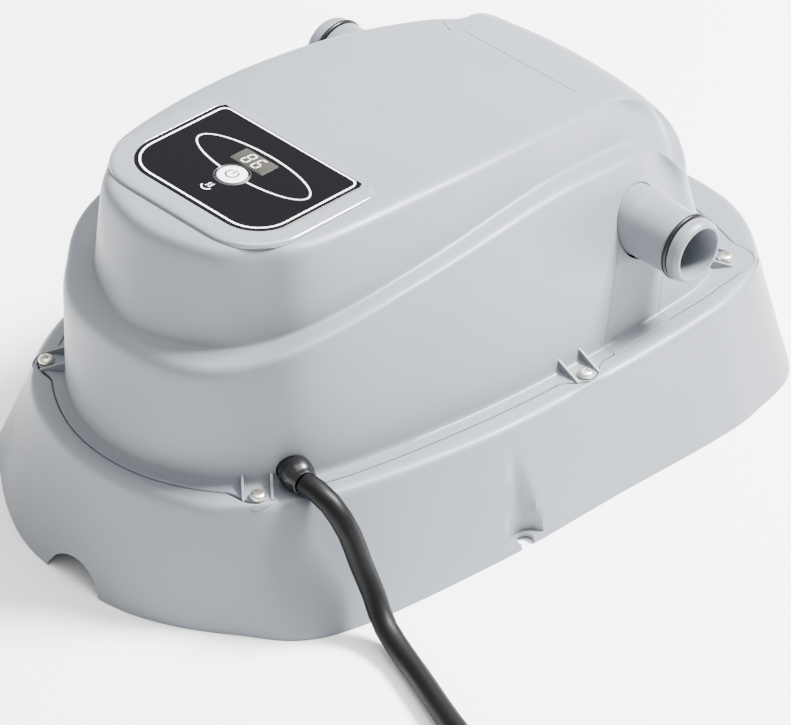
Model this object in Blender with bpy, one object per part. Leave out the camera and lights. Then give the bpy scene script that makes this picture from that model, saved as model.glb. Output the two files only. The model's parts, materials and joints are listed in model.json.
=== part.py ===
"""Free-standing electric heater for a small pool, built as separate pieces.

Units are metres, +Z is up.  The control panel faces -Y, the two hose tails
point along +X and -X, and the origin is on the ground under the middle of
the housing.  Driving dimensions come first, in millimetres, turned to metres
by mm().
"""
import math

import bmesh
import bpy
from mathutils import Matrix, Vector

# ---------------------------------------------------------------- dimensions
SHIFT_Y = 43.0            # moves the working frame so the origin is mid-length
WALL = 2.5                # moulded wall thickness
GAP = 0.3                 # clearance left between touching pieces
SEAM_Z = 62.0             # top of the ledge and of the upper housing's flange
REBATE_Z = 57.4           # floor of the rebate that holds the gasket
PIPE_Y = 49.3             # hose tail axis
PIPE_Z = 105.6
TIP_X = 125.2             # outer end of each hose tail
BORE_R = 12.7             # water way
TAIL_R = 15.9             # barrel for a 32 mm hose
CHAMBER_R = 24.0          # heating chamber, outside
CHAMBER_HALF = 60.0
PANEL_Y = -126.0          # middle of the console
PANEL_Z = 177.0
PANEL_SLOPE = -0.035      # the console leans back by 2 degrees
BUTTON_Y = -5.0           # power button, in the console's own frame
BUTTON_R = 7.8
BUTTON_TRAVEL = 1.0
CORD_R = 5.5              # rubber mains cord, 11 mm across
GLAND_AT = (74.0, -166.0, 68.3)
GLAND_DIR = (0.97, -0.25, 0.0)
COIL_AT = (263.0, -283.0)
COIL_IN = 44.0
COIL_OUT = 77.0
COIL_TOP = 22.0
TRAY_Z = 34.0             # floor of the base tray
SCREW_SPOTS = [(72.0, -186.0), (113.5, -14.0), (97.0, 101.0)]      # housing screws, right half
TRAY_SPOTS = [(45.0, -196.0), (45.0, 116.5)]                       # base tray screws, right half
SADDLE_FOOT = (8.0, 46.0)         # the saddle's edges at the ledge, along Y
SADDLE_LEAN = 0.585               # how far they lean back for each mm of height
BOARD_Z = 70.0                    # underside of the control board
BOARD_LOW = (-50.0, -120.0)
BOARD_HIGH = (50.0, -20.0)
STEM_LOW = -8.3                   # end of the power button's stem, in the console's frame
LABEL = (45.5, -33.5, 34.5, 20.0, 6.0)      # half width, front, back, front corner, back corner
BEZEL = (57.5, -45.5, 36.2, 30.0, 9.0)
CORD_ROUTE = [(96.0, -168.8, 67.6), (105.0, -168.0, 61.5), (111.0, -165.5, 50.0),
              (116.0, -164.0, 36.0), (122.5, -163.0, 23.0), (133.0, -165.8, 11.0), (149.0, -170.2, 6.2),
              (167.0, -176.5, 5.8), (196.0, -187.5, 5.8), (222.0, -195.5, 5.8), (244.5, -203.6, 5.8)]
PLUG_ANGLE = -45.0                # where the plug lies on the coil, in degrees

# Rails run round the right half, from the nose to the tail: (x, y, z) in mm.
# Every rail has the same stations, so neighbouring rails bridge evenly.
FOOT_RAIL = [(0, -238, 0), (40, -233, 0), (80, -211, 0), (113, -178, 0), (129, -90, 0), (134, -8, 0),
             (138, 52, 0), (136.5, 84, 0), (124, 122, 0), (72, 149, 0), (0, 152, 0)]
LEDGE_RAIL = [(0, -224, 57), (36, -218, 57), (70, -199, 57), (95, -160, 57), (115, -82, 57), (121.5, -8, 57),
              (123, 52, 57), (120.5, 84, 57), (108, 114, 57), (66, 141, 57), (0, 143.5, 57)]
SEAM_RAIL = [(0, -214.5, 62), (34, -208, 62), (66, -187, 62), (87, -151, 62), (103.5, -75, 62), (110.5, -5, 62),
             (110.5, 50, 62), (110, 80, 62), (103.5, 106, 62), (62, 121, 62), (0, 125, 62)]
WALL_RAIL = [(0, -209.5, 62.3), (32, -203, 62.3), (61.5, -183, 62.3), (81, -148, 62.3), (97, -74, 62.3),
             (104, -4, 62.3), (104, 50, 62.3), (102, 78, 62.3), (91.5, 96, 62.3), (57, 114, 62.3),
             (0, 119, 62.3)]
SHOULDER_RAIL = [(0, -208, 112), (36, -201, 113), (60, -182, 118), (78, -150, 128), (86, -78, 134),
                 (83.5, -4, 133), (78, 52, 130), (75, 76, 117), (80, 92, 99), (50, 110, 104), (0, 116, 104)]
CREASE_RAIL = [(0, -196, 126), (37, -183, 126.5), (55, -165, 129), (69, -137, 136), (75, -75, 143),
               (70, -4, 143), (64.5, 46, 135), (66, 72, 128), (71, 91, 112), (46, 106, 118), (0, 111, 120)]
CROWN_RAIL = [(0, -189, 166), (34, -180, 166), (52, -162, 166), (65, -138, 166), (70, -75, 165),
              (67, -8, 159), (59, 45, 150), (54, 70, 142), (60, 92, 126), (40, 98, 131), (0, 102, 131)]
ROOF_RAIL = [(0, -180), (30, -172), (45, -156), (56, -134), (60, -75), (57, -8), (50, 40), (46, 62), (46, 75),
             (28, 80), (0, 82)]
PER_SPAN = 2              # points between two stations


def mm(*values):
    """A point given in millimetres, in the part's own metres."""
    x, y, z = values
    return Vector((x, y + SHIFT_Y, z)) * 0.001


# ---------------------------------------------------------------- materials
def material(name, colour, roughness, metallic=0.0):
    found = bpy.data.materials.get(name)
    if found:
        return found
    made = bpy.data.materials.new(name)
    made.use_nodes = True
    shader = made.node_tree.nodes["Principled BSDF"]
    shader.inputs["Base Color"].default_value = (*colour, 1.0)
    shader.inputs["Roughness"].default_value = roughness
    shader.inputs["Metallic"].default_value = metallic
    return made


def grey_plastic():
    return material("grey_plastic", (0.52, 0.54, 0.57), 0.4)


def gloss_grey():
    return material("gloss_grey", (0.55, 0.57, 0.60), 0.15)


def black_gloss():
    return material("black_gloss", (0.01, 0.012, 0.016), 0.1)


def black_rubber():
    return material("black_rubber", (0.015, 0.015, 0.016), 0.6)


def steel():
    return material("steel", (0.62, 0.62, 0.60), 0.28, 1.0)


def brass():
    return material("brass", (0.72, 0.52, 0.22), 0.3, 1.0)


def board_green():
    return material("board_green", (0.02, 0.14, 0.06), 0.45)


def black_plastic():
    return material("black_plastic", (0.02, 0.02, 0.022), 0.45)


def white_plastic():
    return material("white_plastic", (0.75, 0.75, 0.73), 0.4)


def smoked_clear():
    return material("smoked_clear", (0.05, 0.05, 0.055), 0.08)


def silicone():
    return material("silicone", (0.55, 0.18, 0.10), 0.6)


# ---------------------------------------------------------------- mesh tools
def clear_scene():
    for thing in list(bpy.data.objects):
        bpy.data.objects.remove(thing, do_unlink=True)


def finish(name, mesh_data, finish_material, smooth_angle=35.0):
    """Makes a named object from a bmesh."""
    bmesh.ops.recalc_face_normals(mesh_data, faces=mesh_data.faces)
    mesh = bpy.data.meshes.new(name)
    mesh_data.to_mesh(mesh)
    mesh_data.free()
    mesh.shade_smooth()
    mesh.set_sharp_from_angle(angle=math.radians(smooth_angle))
    thing = bpy.data.objects.new(name, mesh)
    mesh.materials.append(finish_material)
    bpy.context.scene.collection.objects.link(thing)
    return thing


def move_mesh(thing, matrix):
    thing.data.transform(matrix)
    return thing


def box(name, low, high, finish_material):
    """A block between two corners given in millimetres."""
    shape = bmesh.new()
    bmesh.ops.create_cube(shape, size=1.0)
    low_point = mm(*low)
    high_point = mm(*high)
    middle = (low_point + high_point) / 2
    size = high_point - low_point
    bmesh.ops.scale(shape, vec=size, verts=shape.verts)
    bmesh.ops.translate(shape, vec=middle, verts=shape.verts)
    return finish(name, shape, finish_material)


def turned(name, profile, at, axis, finish_material, sides=32):
    """A closed profile of (radius, height) pairs turned about an axis through `at`.

    A profile that starts and ends on the axis gives a solid; any other gives a ring.
    """
    shape = bmesh.new()
    rings = []
    for radius, height in profile:
        if radius < 1e-6:
            rings.append([shape.verts.new((0, 0, height * 0.001))])
            continue
        ring = []
        for step in range(sides):
            angle = 2 * math.pi * step / sides
            corner = (radius * math.cos(angle), radius * math.sin(angle), height)
            ring.append(shape.verts.new(Vector(corner) * 0.001))
        rings.append(ring)
    solid = len(rings[0]) == 1
    pairs = list(zip(rings, rings[1:]))
    if not solid:
        pairs.append((rings[-1], rings[0]))
    for lower, upper in pairs:
        for step in range(sides):
            after = (step + 1) % sides
            corners = [lower[step % len(lower)], lower[after % len(lower)],
                       upper[after % len(upper)], upper[step % len(upper)]]
            distinct = list(dict.fromkeys(corners))
            if len(distinct) > 2:
                shape.faces.new(distinct)
    thing = finish(name, shape, finish_material)
    turn = Vector((0, 0, 1)).rotation_difference(Vector(axis).normalized()).to_matrix().to_4x4()
    return move_mesh(thing, Matrix.Translation(mm(*at)) @ turn)


def rod(name, radius, start, end, finish_material, sides=24):
    """A plain round bar from one point to another."""
    run = Vector(end) - Vector(start)
    profile = [(0, 0), (radius, 0), (radius, run.length), (0, run.length)]
    return turned(name, profile, start, run, finish_material, sides)


def plate(name, outline, low, high, finish_material, place=None):
    """A closed outline of (x, y) pairs in mm, extruded between two heights."""
    shape = bmesh.new()
    bottom = [shape.verts.new(Vector((x, y, low)) * 0.001) for x, y in outline]
    top = [shape.verts.new(Vector((x, y, high)) * 0.001) for x, y in outline]
    shape.faces.new(reversed(bottom))
    shape.faces.new(top)
    for here in range(len(outline)):
        after = (here + 1) % len(outline)
        shape.faces.new([bottom[here], bottom[after], top[after], top[here]])
    thing = finish(name, shape, finish_material)
    if place is not None:
        move_mesh(thing, place)
    return thing


def tube(name, points, radius, finish_material, resolution=2):
    """A round cord or pipe that follows a list of points in mm."""
    curve = bpy.data.curves.new(name, "CURVE")
    curve.dimensions = "3D"
    curve.bevel_depth = radius * 0.001
    curve.bevel_resolution = resolution
    curve.use_fill_caps = True
    spline = curve.splines.new("POLY")
    spline.points.add(len(points) - 1)
    for place, point in zip(spline.points, points):
        place.co = (*mm(*point), 1.0)
    curve.materials.append(finish_material)
    thing = bpy.data.objects.new(name, curve)
    bpy.context.scene.collection.objects.link(thing)
    return thing


def smooth_path(points, spacing):
    """Points every `spacing` mm along a Catmull-Rom curve through a route."""
    route = [Vector(point) for point in points]
    route = [route[0] * 2 - route[1]] + route + [route[-1] * 2 - route[-2]]
    dense = []
    for here in range(1, len(route) - 2):
        for step in range(40):
            dense.append(catmull(route[here - 1:here + 3], step / 40))
    dense.append(route[-2])
    kept = [dense[0]]
    for point in dense[1:-1]:
        if (point - kept[-1]).length >= spacing:
            kept.append(point)
    if (dense[-1] - kept[-1]).length < spacing * 0.5:
        kept.pop()
    kept.append(dense[-1])
    return kept


def catmull(four, t):
    before, start, end, after = four
    return 0.5 * (2 * start + (end - before) * t + (2 * before - 5 * start + 4 * end - after) * t * t
                  + (3 * start - before - 3 * end + after) * t ** 3)


def cut(thing, cutter, operation="DIFFERENCE"):
    """Applies a Boolean with a cutter, then removes the cutter."""
    for each in (thing, cutter):
        flatten_faces(each)
    step = thing.modifiers.new("cut", "BOOLEAN")
    step.operation = operation
    step.object = cutter
    step.solver = "EXACT"
    bpy.context.view_layer.update()
    result = bpy.data.meshes.new_from_object(thing.evaluated_get(bpy.context.evaluated_depsgraph_get()))
    thing.modifiers.clear()
    result.name = thing.name
    thing.data = result
    bpy.data.objects.remove(cutter, do_unlink=True)
    tidy_mesh(thing)
    return thing


def flatten_faces(thing):
    """Splits faces with four or more corners that aren't flat, so a Boolean reads them exactly."""
    shape = bmesh.new()
    shape.from_mesh(thing.data)
    bent = [face for face in shape.faces if len(face.verts) > 3 and bend(face) > 1e-7]
    bmesh.ops.triangulate(shape, faces=bent)
    shape.to_mesh(thing.data)
    shape.free()


def bend(face):
    middle = face.calc_center_median()
    return max(abs((corner.co - middle).dot(face.normal)) for corner in face.verts)


def tidy_mesh(thing):
    """Welds the slivers that a Boolean leaves."""
    shape = bmesh.new()
    shape.from_mesh(thing.data)
    bmesh.ops.dissolve_degenerate(shape, dist=1e-6, edges=shape.edges)
    bmesh.ops.remove_doubles(shape, verts=shape.verts, dist=2e-6)
    shape.to_mesh(thing.data)
    shape.free()


# ---------------------------------------------------------------- lofted shells
def roof_z(y):
    """Height of the roof's spine: flat under the console, then falling to the tail."""
    past = max(0.0, y + 90.0)
    return PANEL_Z - 1.6 + PANEL_SLOPE * (min(y, -90.0) - PANEL_Y) + PANEL_SLOPE * past - 0.00082 * past * past


def ring(rail):
    """A closed loop of points from a right-half rail, smooth across the middle plane."""
    points = [Vector(point) for point in rail]
    flip = Vector((-1, 1, 1))
    route = [points[1] * flip] + points + [points[-2] * flip]
    half = []
    for here in range(1, len(route) - 2):
        for step in range(PER_SPAN):
            half.append(catmull(route[here - 1:here + 3], step / PER_SPAN))
    half.append(points[-1])
    left = [point * flip for point in reversed(half[1:-1])]
    return half + left


def between(lower, upper, flat, rise):
    """A rail between two others: a share of the way across and of the way up."""
    made = []
    for low, high in zip(lower, upper):
        made.append((low[0] + (high[0] - low[0]) * flat, low[1] + (high[1] - low[1]) * flat,
                     low[2] + (high[2] - low[2]) * rise))
    return made


def inset(rail, distance, height=None):
    """A rail moved inwards in plan; a negative distance moves it outwards."""
    made = []
    count = len(rail)
    for here, point in enumerate(rail):
        before = Vector(rail[max(here - 1, 0)])
        after = Vector(rail[min(here + 1, count - 1)])
        if here == 0:
            before = Vector((-after.x, after.y, after.z))
        if here == count - 1:
            after = Vector((-before.x, before.y, before.z))
        along = after - before
        along.z = 0
        along.normalize()
        outwards = Vector((along.y, -along.x, 0))
        if here in (0, count - 1):
            outwards.x = 0
        moved = Vector(point) - outwards * distance
        if height is not None:
            moved.z = height
        made.append(tuple(moved))
    return made


def loft_faces(shape, rails):
    """Bridges rails with quads and returns their rings of vertices."""
    rings = []
    for rail in rails:
        rings.append([shape.verts.new(mm(*point)) for point in ring(rail)])
    for lower, upper in zip(rings, rings[1:]):
        count = len(lower)
        for here in range(count):
            after = (here + 1) % count
            shape.faces.new([lower[here], lower[after], upper[after], upper[here]])
    return rings


def cap_across(shape, loop):
    """Closes a symmetric loop with quads from its right half to its left half."""
    count = len(loop)
    half = count // 2
    for here in range(half):
        left_here = (count - here) % count
        left_after = count - here - 1
        corners = [loop[here], loop[here + 1], loop[left_after], loop[left_here]]
        shape.faces.new(list(dict.fromkeys(corners)))


def drop(rail, depth):
    return [(x, y, z - depth) for x, y, z in rail]


def shell_rails(depth):
    """Rails of the upper housing's skin, moved inwards by `depth`."""
    rim = inset(SEAM_RAIL, 0.0, SEAM_Z - depth)
    base = inset(WALL_RAIL, depth, 62.3 - depth)
    turn_up = inset(WALL_RAIL, depth + 1.0, 64.5 - depth * 0.4)
    shoulder = inset(SHOULDER_RAIL, depth)
    crease = drop(inset(CREASE_RAIL, depth), depth * 0.4)
    crown = inset(CROWN_RAIL, depth)
    roof = [(x, y, roof_z(y)) for x, y in ROOF_RAIL]
    roof = drop(inset(roof, depth * 0.3), depth)
    return [rim, base, turn_up, drop(shoulder, depth * 0.3), between(shoulder, crease, 0.35, 0.62),
            between(shoulder, crease, 0.7, 0.88), crease, crown, between(crown, roof, 0.29, 0.71), roof]


def shell_body(name, outer_rails, inner_rails, finish_material):
    """A thin shell with a closed roof and an open underside."""
    shape = bmesh.new()
    outer = loft_faces(shape, outer_rails)
    cap_across(shape, outer[-1])
    inner = loft_faces(shape, inner_rails)
    cap_across(shape, inner[-1])
    count = len(outer[0])
    for here in range(count):
        after = (here + 1) % count
        shape.faces.new([outer[0][here], outer[0][after], inner[0][after], inner[0][here]])
    return finish(name, shape, finish_material, 40.0)


def band_body(name, rails, finish_material):
    """A closed band: the last rail is joined back to the first."""
    shape = bmesh.new()
    rings = loft_faces(shape, rails)
    first = rings[0]
    last = rings[-1]
    count = len(first)
    for here in range(count):
        after = (here + 1) % count
        shape.faces.new([last[here], last[after], first[after], first[here]])
    return finish(name, shape, finish_material, 40.0)


# ---------------------------------------------------------------- housings


def both_sides(spots):
    return [(side * x, y) for x, y in spots for side in (1, -1)]


def gland_point(along):
    return Vector(GLAND_AT) + Vector(GLAND_DIR).normalized() * along


def saddle_block(name, side, grow, low, high, near):
    """A leaning prism that reaches through one side wall up to the hose tail's height."""
    front, back = SADDLE_FOOT
    lean_low = SADDLE_LEAN * (low - SEAM_Z)
    lean_high = SADDLE_LEAN * (high - SEAM_Z)
    corners = [(front + lean_low - grow, low), (back + lean_low + grow, low),
               (back + lean_high + grow, high), (front + lean_high - grow, high)]
    shape = bmesh.new()
    loops = []
    for x in (near * side, 135.0 * side):
        loops.append([shape.verts.new(mm(x, y, z)) for y, z in corners])
    shape.faces.new(loops[0])
    shape.faces.new(reversed(loops[1]))
    for here in range(4):
        after = (here + 1) % 4
        shape.faces.new([loops[0][after], loops[0][here], loops[1][here], loops[1][after]])
    return finish(name, shape, grey_plastic())


def upper_shell(name):
    return shell_body(name, shell_rails(0.0), shell_rails(WALL), grey_plastic())


def screw_tabs(thing, radius, low, high, operation):
    for x, y in both_sides(SCREW_SPOTS):
        cut(thing, rod("tab", radius, (x, y, low), (x, y, high), grey_plastic(), 14), operation)


def make_upper_housing():
    thing = upper_shell("upper_housing")
    screw_tabs(thing, 6.4, SEAM_Z - WALL, SEAM_Z, "UNION")
    screw_tabs(thing, 2.2, SEAM_Z - 5, SEAM_Z + 2, "DIFFERENCE")
    for side in (1, -1):
        cut(thing, saddle_block("saddle_cut", side, GAP, SEAM_Z - 8, PIPE_Z, 70.0))
        cut(thing, rod("tail_hole", 17.2, (62 * side, PIPE_Y, PIPE_Z), (130 * side, PIPE_Y, PIPE_Z),
                       grey_plastic(), 24))
    cut(thing, rod("gland_hole", 7.9, gland_point(-14), gland_point(16), grey_plastic(), 16))
    cut(thing, plate("console_hole", rounded(50.0, -33.0, 28.0, 14.0), -12.0, 6.0, grey_plastic(),
                     console_frame()))
    return thing


def make_saddle(side):
    """The slice of side wall that belongs to the lower housing and cradles a hose tail."""
    slice_name = "saddle_right" if side > 0 else "saddle_left"
    thing = upper_shell(slice_name)
    cut(thing, saddle_block("saddle_keep", side, 0.0, SEAM_Z - 8, PIPE_Z - GAP, 70.0), "INTERSECT")
    cut(thing, rod("tail_hole", 17.2, (62 * side, PIPE_Y, PIPE_Z), (130 * side, PIPE_Y, PIPE_Z),
                   grey_plastic(), 24))
    return thing


def make_lower_housing():
    seam = inset(SEAM_RAIL, -0.4)
    rails = [FOOT_RAIL, LEDGE_RAIL, inset(LEDGE_RAIL, 0.8, 60.0), inset(LEDGE_RAIL, 3.2, 61.8),
             drop(seam, 0.2), drop(seam, SEAM_Z - REBATE_Z), inset(SEAM_RAIL, 9.0, REBATE_Z),
             inset(SEAM_RAIL, 9.0, REBATE_Z - WALL), inset(SEAM_RAIL, -2.9, REBATE_Z - WALL),
             inset(LEDGE_RAIL, 5.0, 59.0), inset(LEDGE_RAIL, WALL, 56.0), inset(FOOT_RAIL, WALL)]
    thing = band_body("lower_housing", rails, grey_plastic())
    screw_tabs(thing, 8.6, 48.0, 60.6, "UNION")
    channel = [inset(SEAM_RAIL, -0.3, REBATE_Z + 0.1), inset(SEAM_RAIL, -0.3, 68.0),
               inset(SEAM_RAIL, 19.0, 68.0), inset(SEAM_RAIL, 19.0, REBATE_Z + 0.1)]
    cut(thing, band_body("rebate_channel", channel, grey_plastic()))
    screw_tabs(thing, 6.8, REBATE_Z - 0.2, 66.0, "DIFFERENCE")
    screw_tabs(thing, 1.9, 44.0, 60.0, "DIFFERENCE")
    for side in (1, -1):
        foot_low, foot_high = SADDLE_FOOT
        low_x, high_x = sorted((side * 109.6, side * 116.0))
        cut(thing, box("saddle_foot", (low_x, foot_low + 0.1, 55.5), (high_x, foot_high - 1.7, 61.9),
                       grey_plastic()), "UNION")
        cut(thing, make_saddle(side), "UNION")
        cut(thing, rod("anchor_slot", 4.2, (121 * side, -69, -5), (121 * side, -69, 9), grey_plastic(), 14))
    for x, y in both_sides(TRAY_SPOTS):
        cut(thing, rod("tray_screw_hole", 1.9, (x, y, 50.0), (x, y, REBATE_Z - 0.6), grey_plastic(), 12))
    cut(thing, rod("front_arch", 19.0, (0, -250, -6.0), (0, -220, -6.0), grey_plastic(), 24))
    cut(thing, rod("gland_hole", 7.9, gland_point(-14), gland_point(16), grey_plastic(), 16))
    return thing


def make_gasket():
    rails = [inset(SEAM_RAIL, 2.0, 57.7), inset(SEAM_RAIL, 2.0, 59.2), inset(SEAM_RAIL, 4.4, 59.2),
             inset(SEAM_RAIL, 4.4, 57.7)]
    return band_body("housing_gasket", rails, black_rubber())


def make_base_tray():
    """A shallow pan that closes the electronics space from below."""
    rails_out = [inset(SEAM_RAIL, 3.0, 54.6), inset(SEAM_RAIL, 3.0, 52.4), inset(SEAM_RAIL, 10.5, 52.4),
                 inset(SEAM_RAIL, 20.5, TRAY_Z)]
    rails_in = [inset(SEAM_RAIL, 12.0, 54.6), inset(SEAM_RAIL, 22.0, TRAY_Z + 2.2)]
    shape = bmesh.new()
    outer = loft_faces(shape, rails_out)
    cap_across(shape, outer[-1])
    inner = loft_faces(shape, rails_in)
    cap_across(shape, inner[-1])
    count = len(outer[0])
    for here in range(count):
        after = (here + 1) % count
        shape.faces.new([outer[0][here], outer[0][after], inner[0][after], inner[0][here]])
    thing = finish("base_tray", shape, black_plastic(), 40.0)
    for x, y in both_sides(SCREW_SPOTS):
        cut(thing, rod("boss_room", 9.2, (x, y, 40), (x, y, 60), black_plastic(), 14))
    for x, y in both_sides(TRAY_SPOTS):
        cut(thing, rod("tray_hole", 2.2, (x, y, 48), (x, y, 58), black_plastic(), 12))
    return thing


def make_screws():
    for index, (x, y) in enumerate(both_sides(SCREW_SPOTS)):
        profile = [(0, 0), (1.7, 0), (1.7, 14.3), (3.8, 14.3), (3.8, 15.2), (2.8, 16.9), (0, 16.9)]
        turned(f"housing_screw_{index + 1}", profile, (x, y, SEAM_Z - 14.0), (0, 0, 1), steel(), 10)
    for index, (x, y) in enumerate(both_sides(TRAY_SPOTS)):
        profile = [(0, 0), (3.4, 0), (3.4, 1.8), (1.5, 1.8), (1.5, 6.2), (0, 6.2)]
        turned(f"tray_screw_{index + 1}", profile, (x, y, 50.3), (0, 0, 1), steel(), 8)


# ---------------------------------------------------------------- water path
def along_x(name, profile, side, finish_material, sides=32):
    """A turned piece on the water axis; profile heights are distances from the middle."""
    return turned(name, profile, (0, PIPE_Y, PIPE_Z), (side, 0, 0), finish_material, sides)


def make_hose_tail(side):
    name = "hose_tail_right" if side > 0 else "hose_tail_left"
    profile = [(BORE_R, 62.1), (CHAMBER_R, 62.1), (CHAMBER_R, 65.6), (16.4, 65.6), (16.4, 91.0),
               (TAIL_R, 92.5), (TAIL_R, 115.4), (14.2, 115.4), (14.2, 118.6), (TAIL_R, 118.6),
               (TAIL_R, TIP_X - 1.8), (14.2, TIP_X), (BORE_R, TIP_X)]
    along_x(name, profile, side, grey_plastic(), 28)


def make_o_ring(side):
    name = "o_ring_right" if side > 0 else "o_ring_left"
    ring_points = []
    for step in range(6):
        angle = 2 * math.pi * step / 6
        ring_points.append((15.7 + 1.2 * math.cos(angle), 117.0 - 1.2 * math.sin(angle)))
    along_x(name, list(reversed(ring_points)), side, black_rubber(), 28)


def make_chamber():
    half = CHAMBER_HALF
    thing = along_x("heating_chamber", [(22.5, -half), (CHAMBER_R, -half), (CHAMBER_R, half), (22.5, half)], 1,
                    steel(), 28)
    for x in (-30.0, 30.0):
        cut(thing, rod("lead_hole", 5.6, (x, PIPE_Y - 30, PIPE_Z), (x, PIPE_Y - 15, PIPE_Z), steel(), 12))
    cut(thing, rod("probe_hole", 3.0, (-46, PIPE_Y - 30, PIPE_Z), (-46, PIPE_Y - 15, PIPE_Z), steel(), 12))
    cut(thing, rod("switch_hole", 6.3, (46, PIPE_Y, PIPE_Z + 15), (46, PIPE_Y, PIPE_Z + 30), steel(), 16))
    for side in (1, -1):
        name = "chamber_seal_right" if side > 0 else "chamber_seal_left"
        along_x(name, [(20.5, 60.3), (CHAMBER_R, 60.3), (CHAMBER_R, 61.8), (20.5, 61.8)], side, silicone(), 28)
    return thing


def make_element():
    """A sheathed heating rod: four turns round the water axis, both ends out at the front."""
    turns = 4
    points = [(-30.0, PIPE_Y - 40, PIPE_Z), (-30.0, PIPE_Y - 32, PIPE_Z), (-30.0, PIPE_Y - 24, PIPE_Z)]
    steps = turns * 12
    for step in range(2, steps - 1):
        angle = math.pi + 2 * math.pi * turns * step / steps
        x = -30.0 + 60.0 * step / steps
        points.append((x, PIPE_Y + 14.0 * math.cos(angle), PIPE_Z + 14.0 * math.sin(angle)))
    points += [(30.0, PIPE_Y - 24, PIPE_Z), (30.0, PIPE_Y - 32, PIPE_Z), (30.0, PIPE_Y - 40, PIPE_Z)]
    tube("heating_element", smooth_path(points, 7.0), 3.2, steel(), 1)
    for name, x in (("element_bush_left", -30.0), ("element_bush_right", 30.0)):
        profile = [(4.1, 0), (7.0, 0), (7.0, 5.2), (4.1, 5.2)]
        turned(name, profile, (x, PIPE_Y - 24.3, PIPE_Z), (0, -1, 0), brass(), 12)


def make_chamber_fittings():
    top = PIPE_Z + CHAMBER_R + GAP
    turned("thermal_cutout", [(0, 0), (8.0, 0), (8.0, 5.0), (5.0, 5.5), (5.0, 8.0), (0, 8.0)],
           (0, PIPE_Y, top), (0, 0, 1), black_plastic(), 16)
    turned("temperature_probe", [(0, -14), (2.6, -14), (2.6, 0.5), (5.0, 0.5), (5.0, 7.0), (0, 7.0)],
           (-46, PIPE_Y - 24.3, PIPE_Z), (0, -1, 0), brass(), 16)
    body = turned("flow_switch", [(0, 0), (6.0, 0), (6.0, 12.0), (9.0, 12.0), (9.0, 21.0), (0, 21.0)],
                  (46, PIPE_Y, PIPE_Z + 13.0), (0, 0, 1), black_plastic(), 16)
    cut(body, box("fork_slot", (38, PIPE_Y - 2.6, PIPE_Z + 10), (54, PIPE_Y + 2.6, PIPE_Z + 20.5),
                  black_plastic()))
    cut(body, rod("pin_bore", 1.3, (46, PIPE_Y - 8, PIPE_Z + 16), (46, PIPE_Y + 8, PIPE_Z + 16),
                  black_plastic(), 12))
    rod("paddle_pin", 1.0, (46, PIPE_Y - 5.2, PIPE_Z + 16), (46, PIPE_Y + 5.2, PIPE_Z + 16), steel(), 12)


def make_paddle():
    """The flow switch's paddle, with its origin on its pin."""
    hinge = (46, PIPE_Y, PIPE_Z + 16)
    hub = turned("flow_paddle", [(1.3, -2.2), (2.6, -2.2), (2.6, 2.2), (1.3, 2.2)], hinge, (0, 1, 0),
                 black_plastic(), 12)
    blade = box("blade", (45.3, PIPE_Y - 2.2, PIPE_Z - 9), (46.7, PIPE_Y + 2.2, PIPE_Z + 14.0), black_plastic())
    cut(hub, blade, "UNION")
    vane = box("vane", (45.3, PIPE_Y - 8, PIPE_Z - 10), (46.7, PIPE_Y + 8, PIPE_Z + 6.0), black_plastic())
    cut(hub, vane, "UNION")
    set_origin(hub, mm(*hinge))
    return hub


def set_origin(thing, point):
    """Moves an object's origin to a world point without moving its shape."""
    thing.data.transform(Matrix.Translation(-point))
    thing.location = point


def make_chamber_brackets():
    for side, name in ((1, "chamber_bracket_right"), (-1, "chamber_bracket_left")):
        low_x, high_x = sorted((side * 50.0, side * 54.0))
        thing = box(name, (low_x, PIPE_Y - 20, TRAY_Z + 2.5), (high_x, PIPE_Y + 20, PIPE_Z - 6), steel())
        cut(thing, rod("seat", CHAMBER_R + GAP, (40 * side, PIPE_Y, PIPE_Z), (62 * side, PIPE_Y, PIPE_Z),
                       steel(), 28))


# ---------------------------------------------------------------- electronics
def make_main_board():
    low_x, low_y = BOARD_LOW
    high_x, high_y = BOARD_HIGH
    box("control_board", (low_x, low_y, BOARD_Z), (high_x, high_y, BOARD_Z + 1.6), board_green())
    corners = [(x, y) for x in (low_x + 5, high_x - 5) for y in (low_y + 5, high_y - 5)]
    for index, (x, y) in enumerate(corners):
        rod(f"board_post_{index + 1}", 3.2, (x, y, TRAY_Z + 2.5), (x, y, BOARD_Z - GAP), brass(), 8)
    top = BOARD_Z + 1.6 + GAP
    for name, x in (("relay_left", -22.0), ("relay_right", 4.0)):
        box(name, (x, -60, top), (x + 20, -44, top + 20), black_plastic())
    box("transformer", (-42, -108, top), (-14, -80, top + 26), black_plastic())
    block = box("terminal_block", (8, -112, top), (46, -96, top + 14), white_plastic())
    for index in range(4):
        x = 12.5 + 9.5 * index
        cut(block, box("wire_mouth", (x - 3, -114, top + 3), (x + 3, -104, top + 9), white_plastic()))
    box("fuse_holder", (12, -88, top), (38, -78, top + 10), white_plastic())


def make_display_board():
    """The small board under the console, with its digits and key switch."""
    place = console_frame()
    plate("display_board", rounded(42.0, -26.0, 20.0, 4.0), -14.0, -12.4, board_green(), place)
    plate("digit_module", rectangle(-11, 4.8, 11, 15.2), -12.1, -3.4, black_plastic(), place)
    key_top = STEM_LOW - BUTTON_TRAVEL - GAP
    key = [(0, -12.1), (4.2, -12.1), (4.2, key_top), (0, key_top)]
    place_turned("key_switch", key, (0, BUTTON_Y), black_plastic(), 12)
    for name, x in (("display_post_left", -36), ("display_post_right", 36)):
        post = [(0, -12.1), (2.8, -12.1), (2.8, -4.3), (0, -4.3)]
        place_turned(name, post, (x, -3), brass(), 8)


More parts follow.
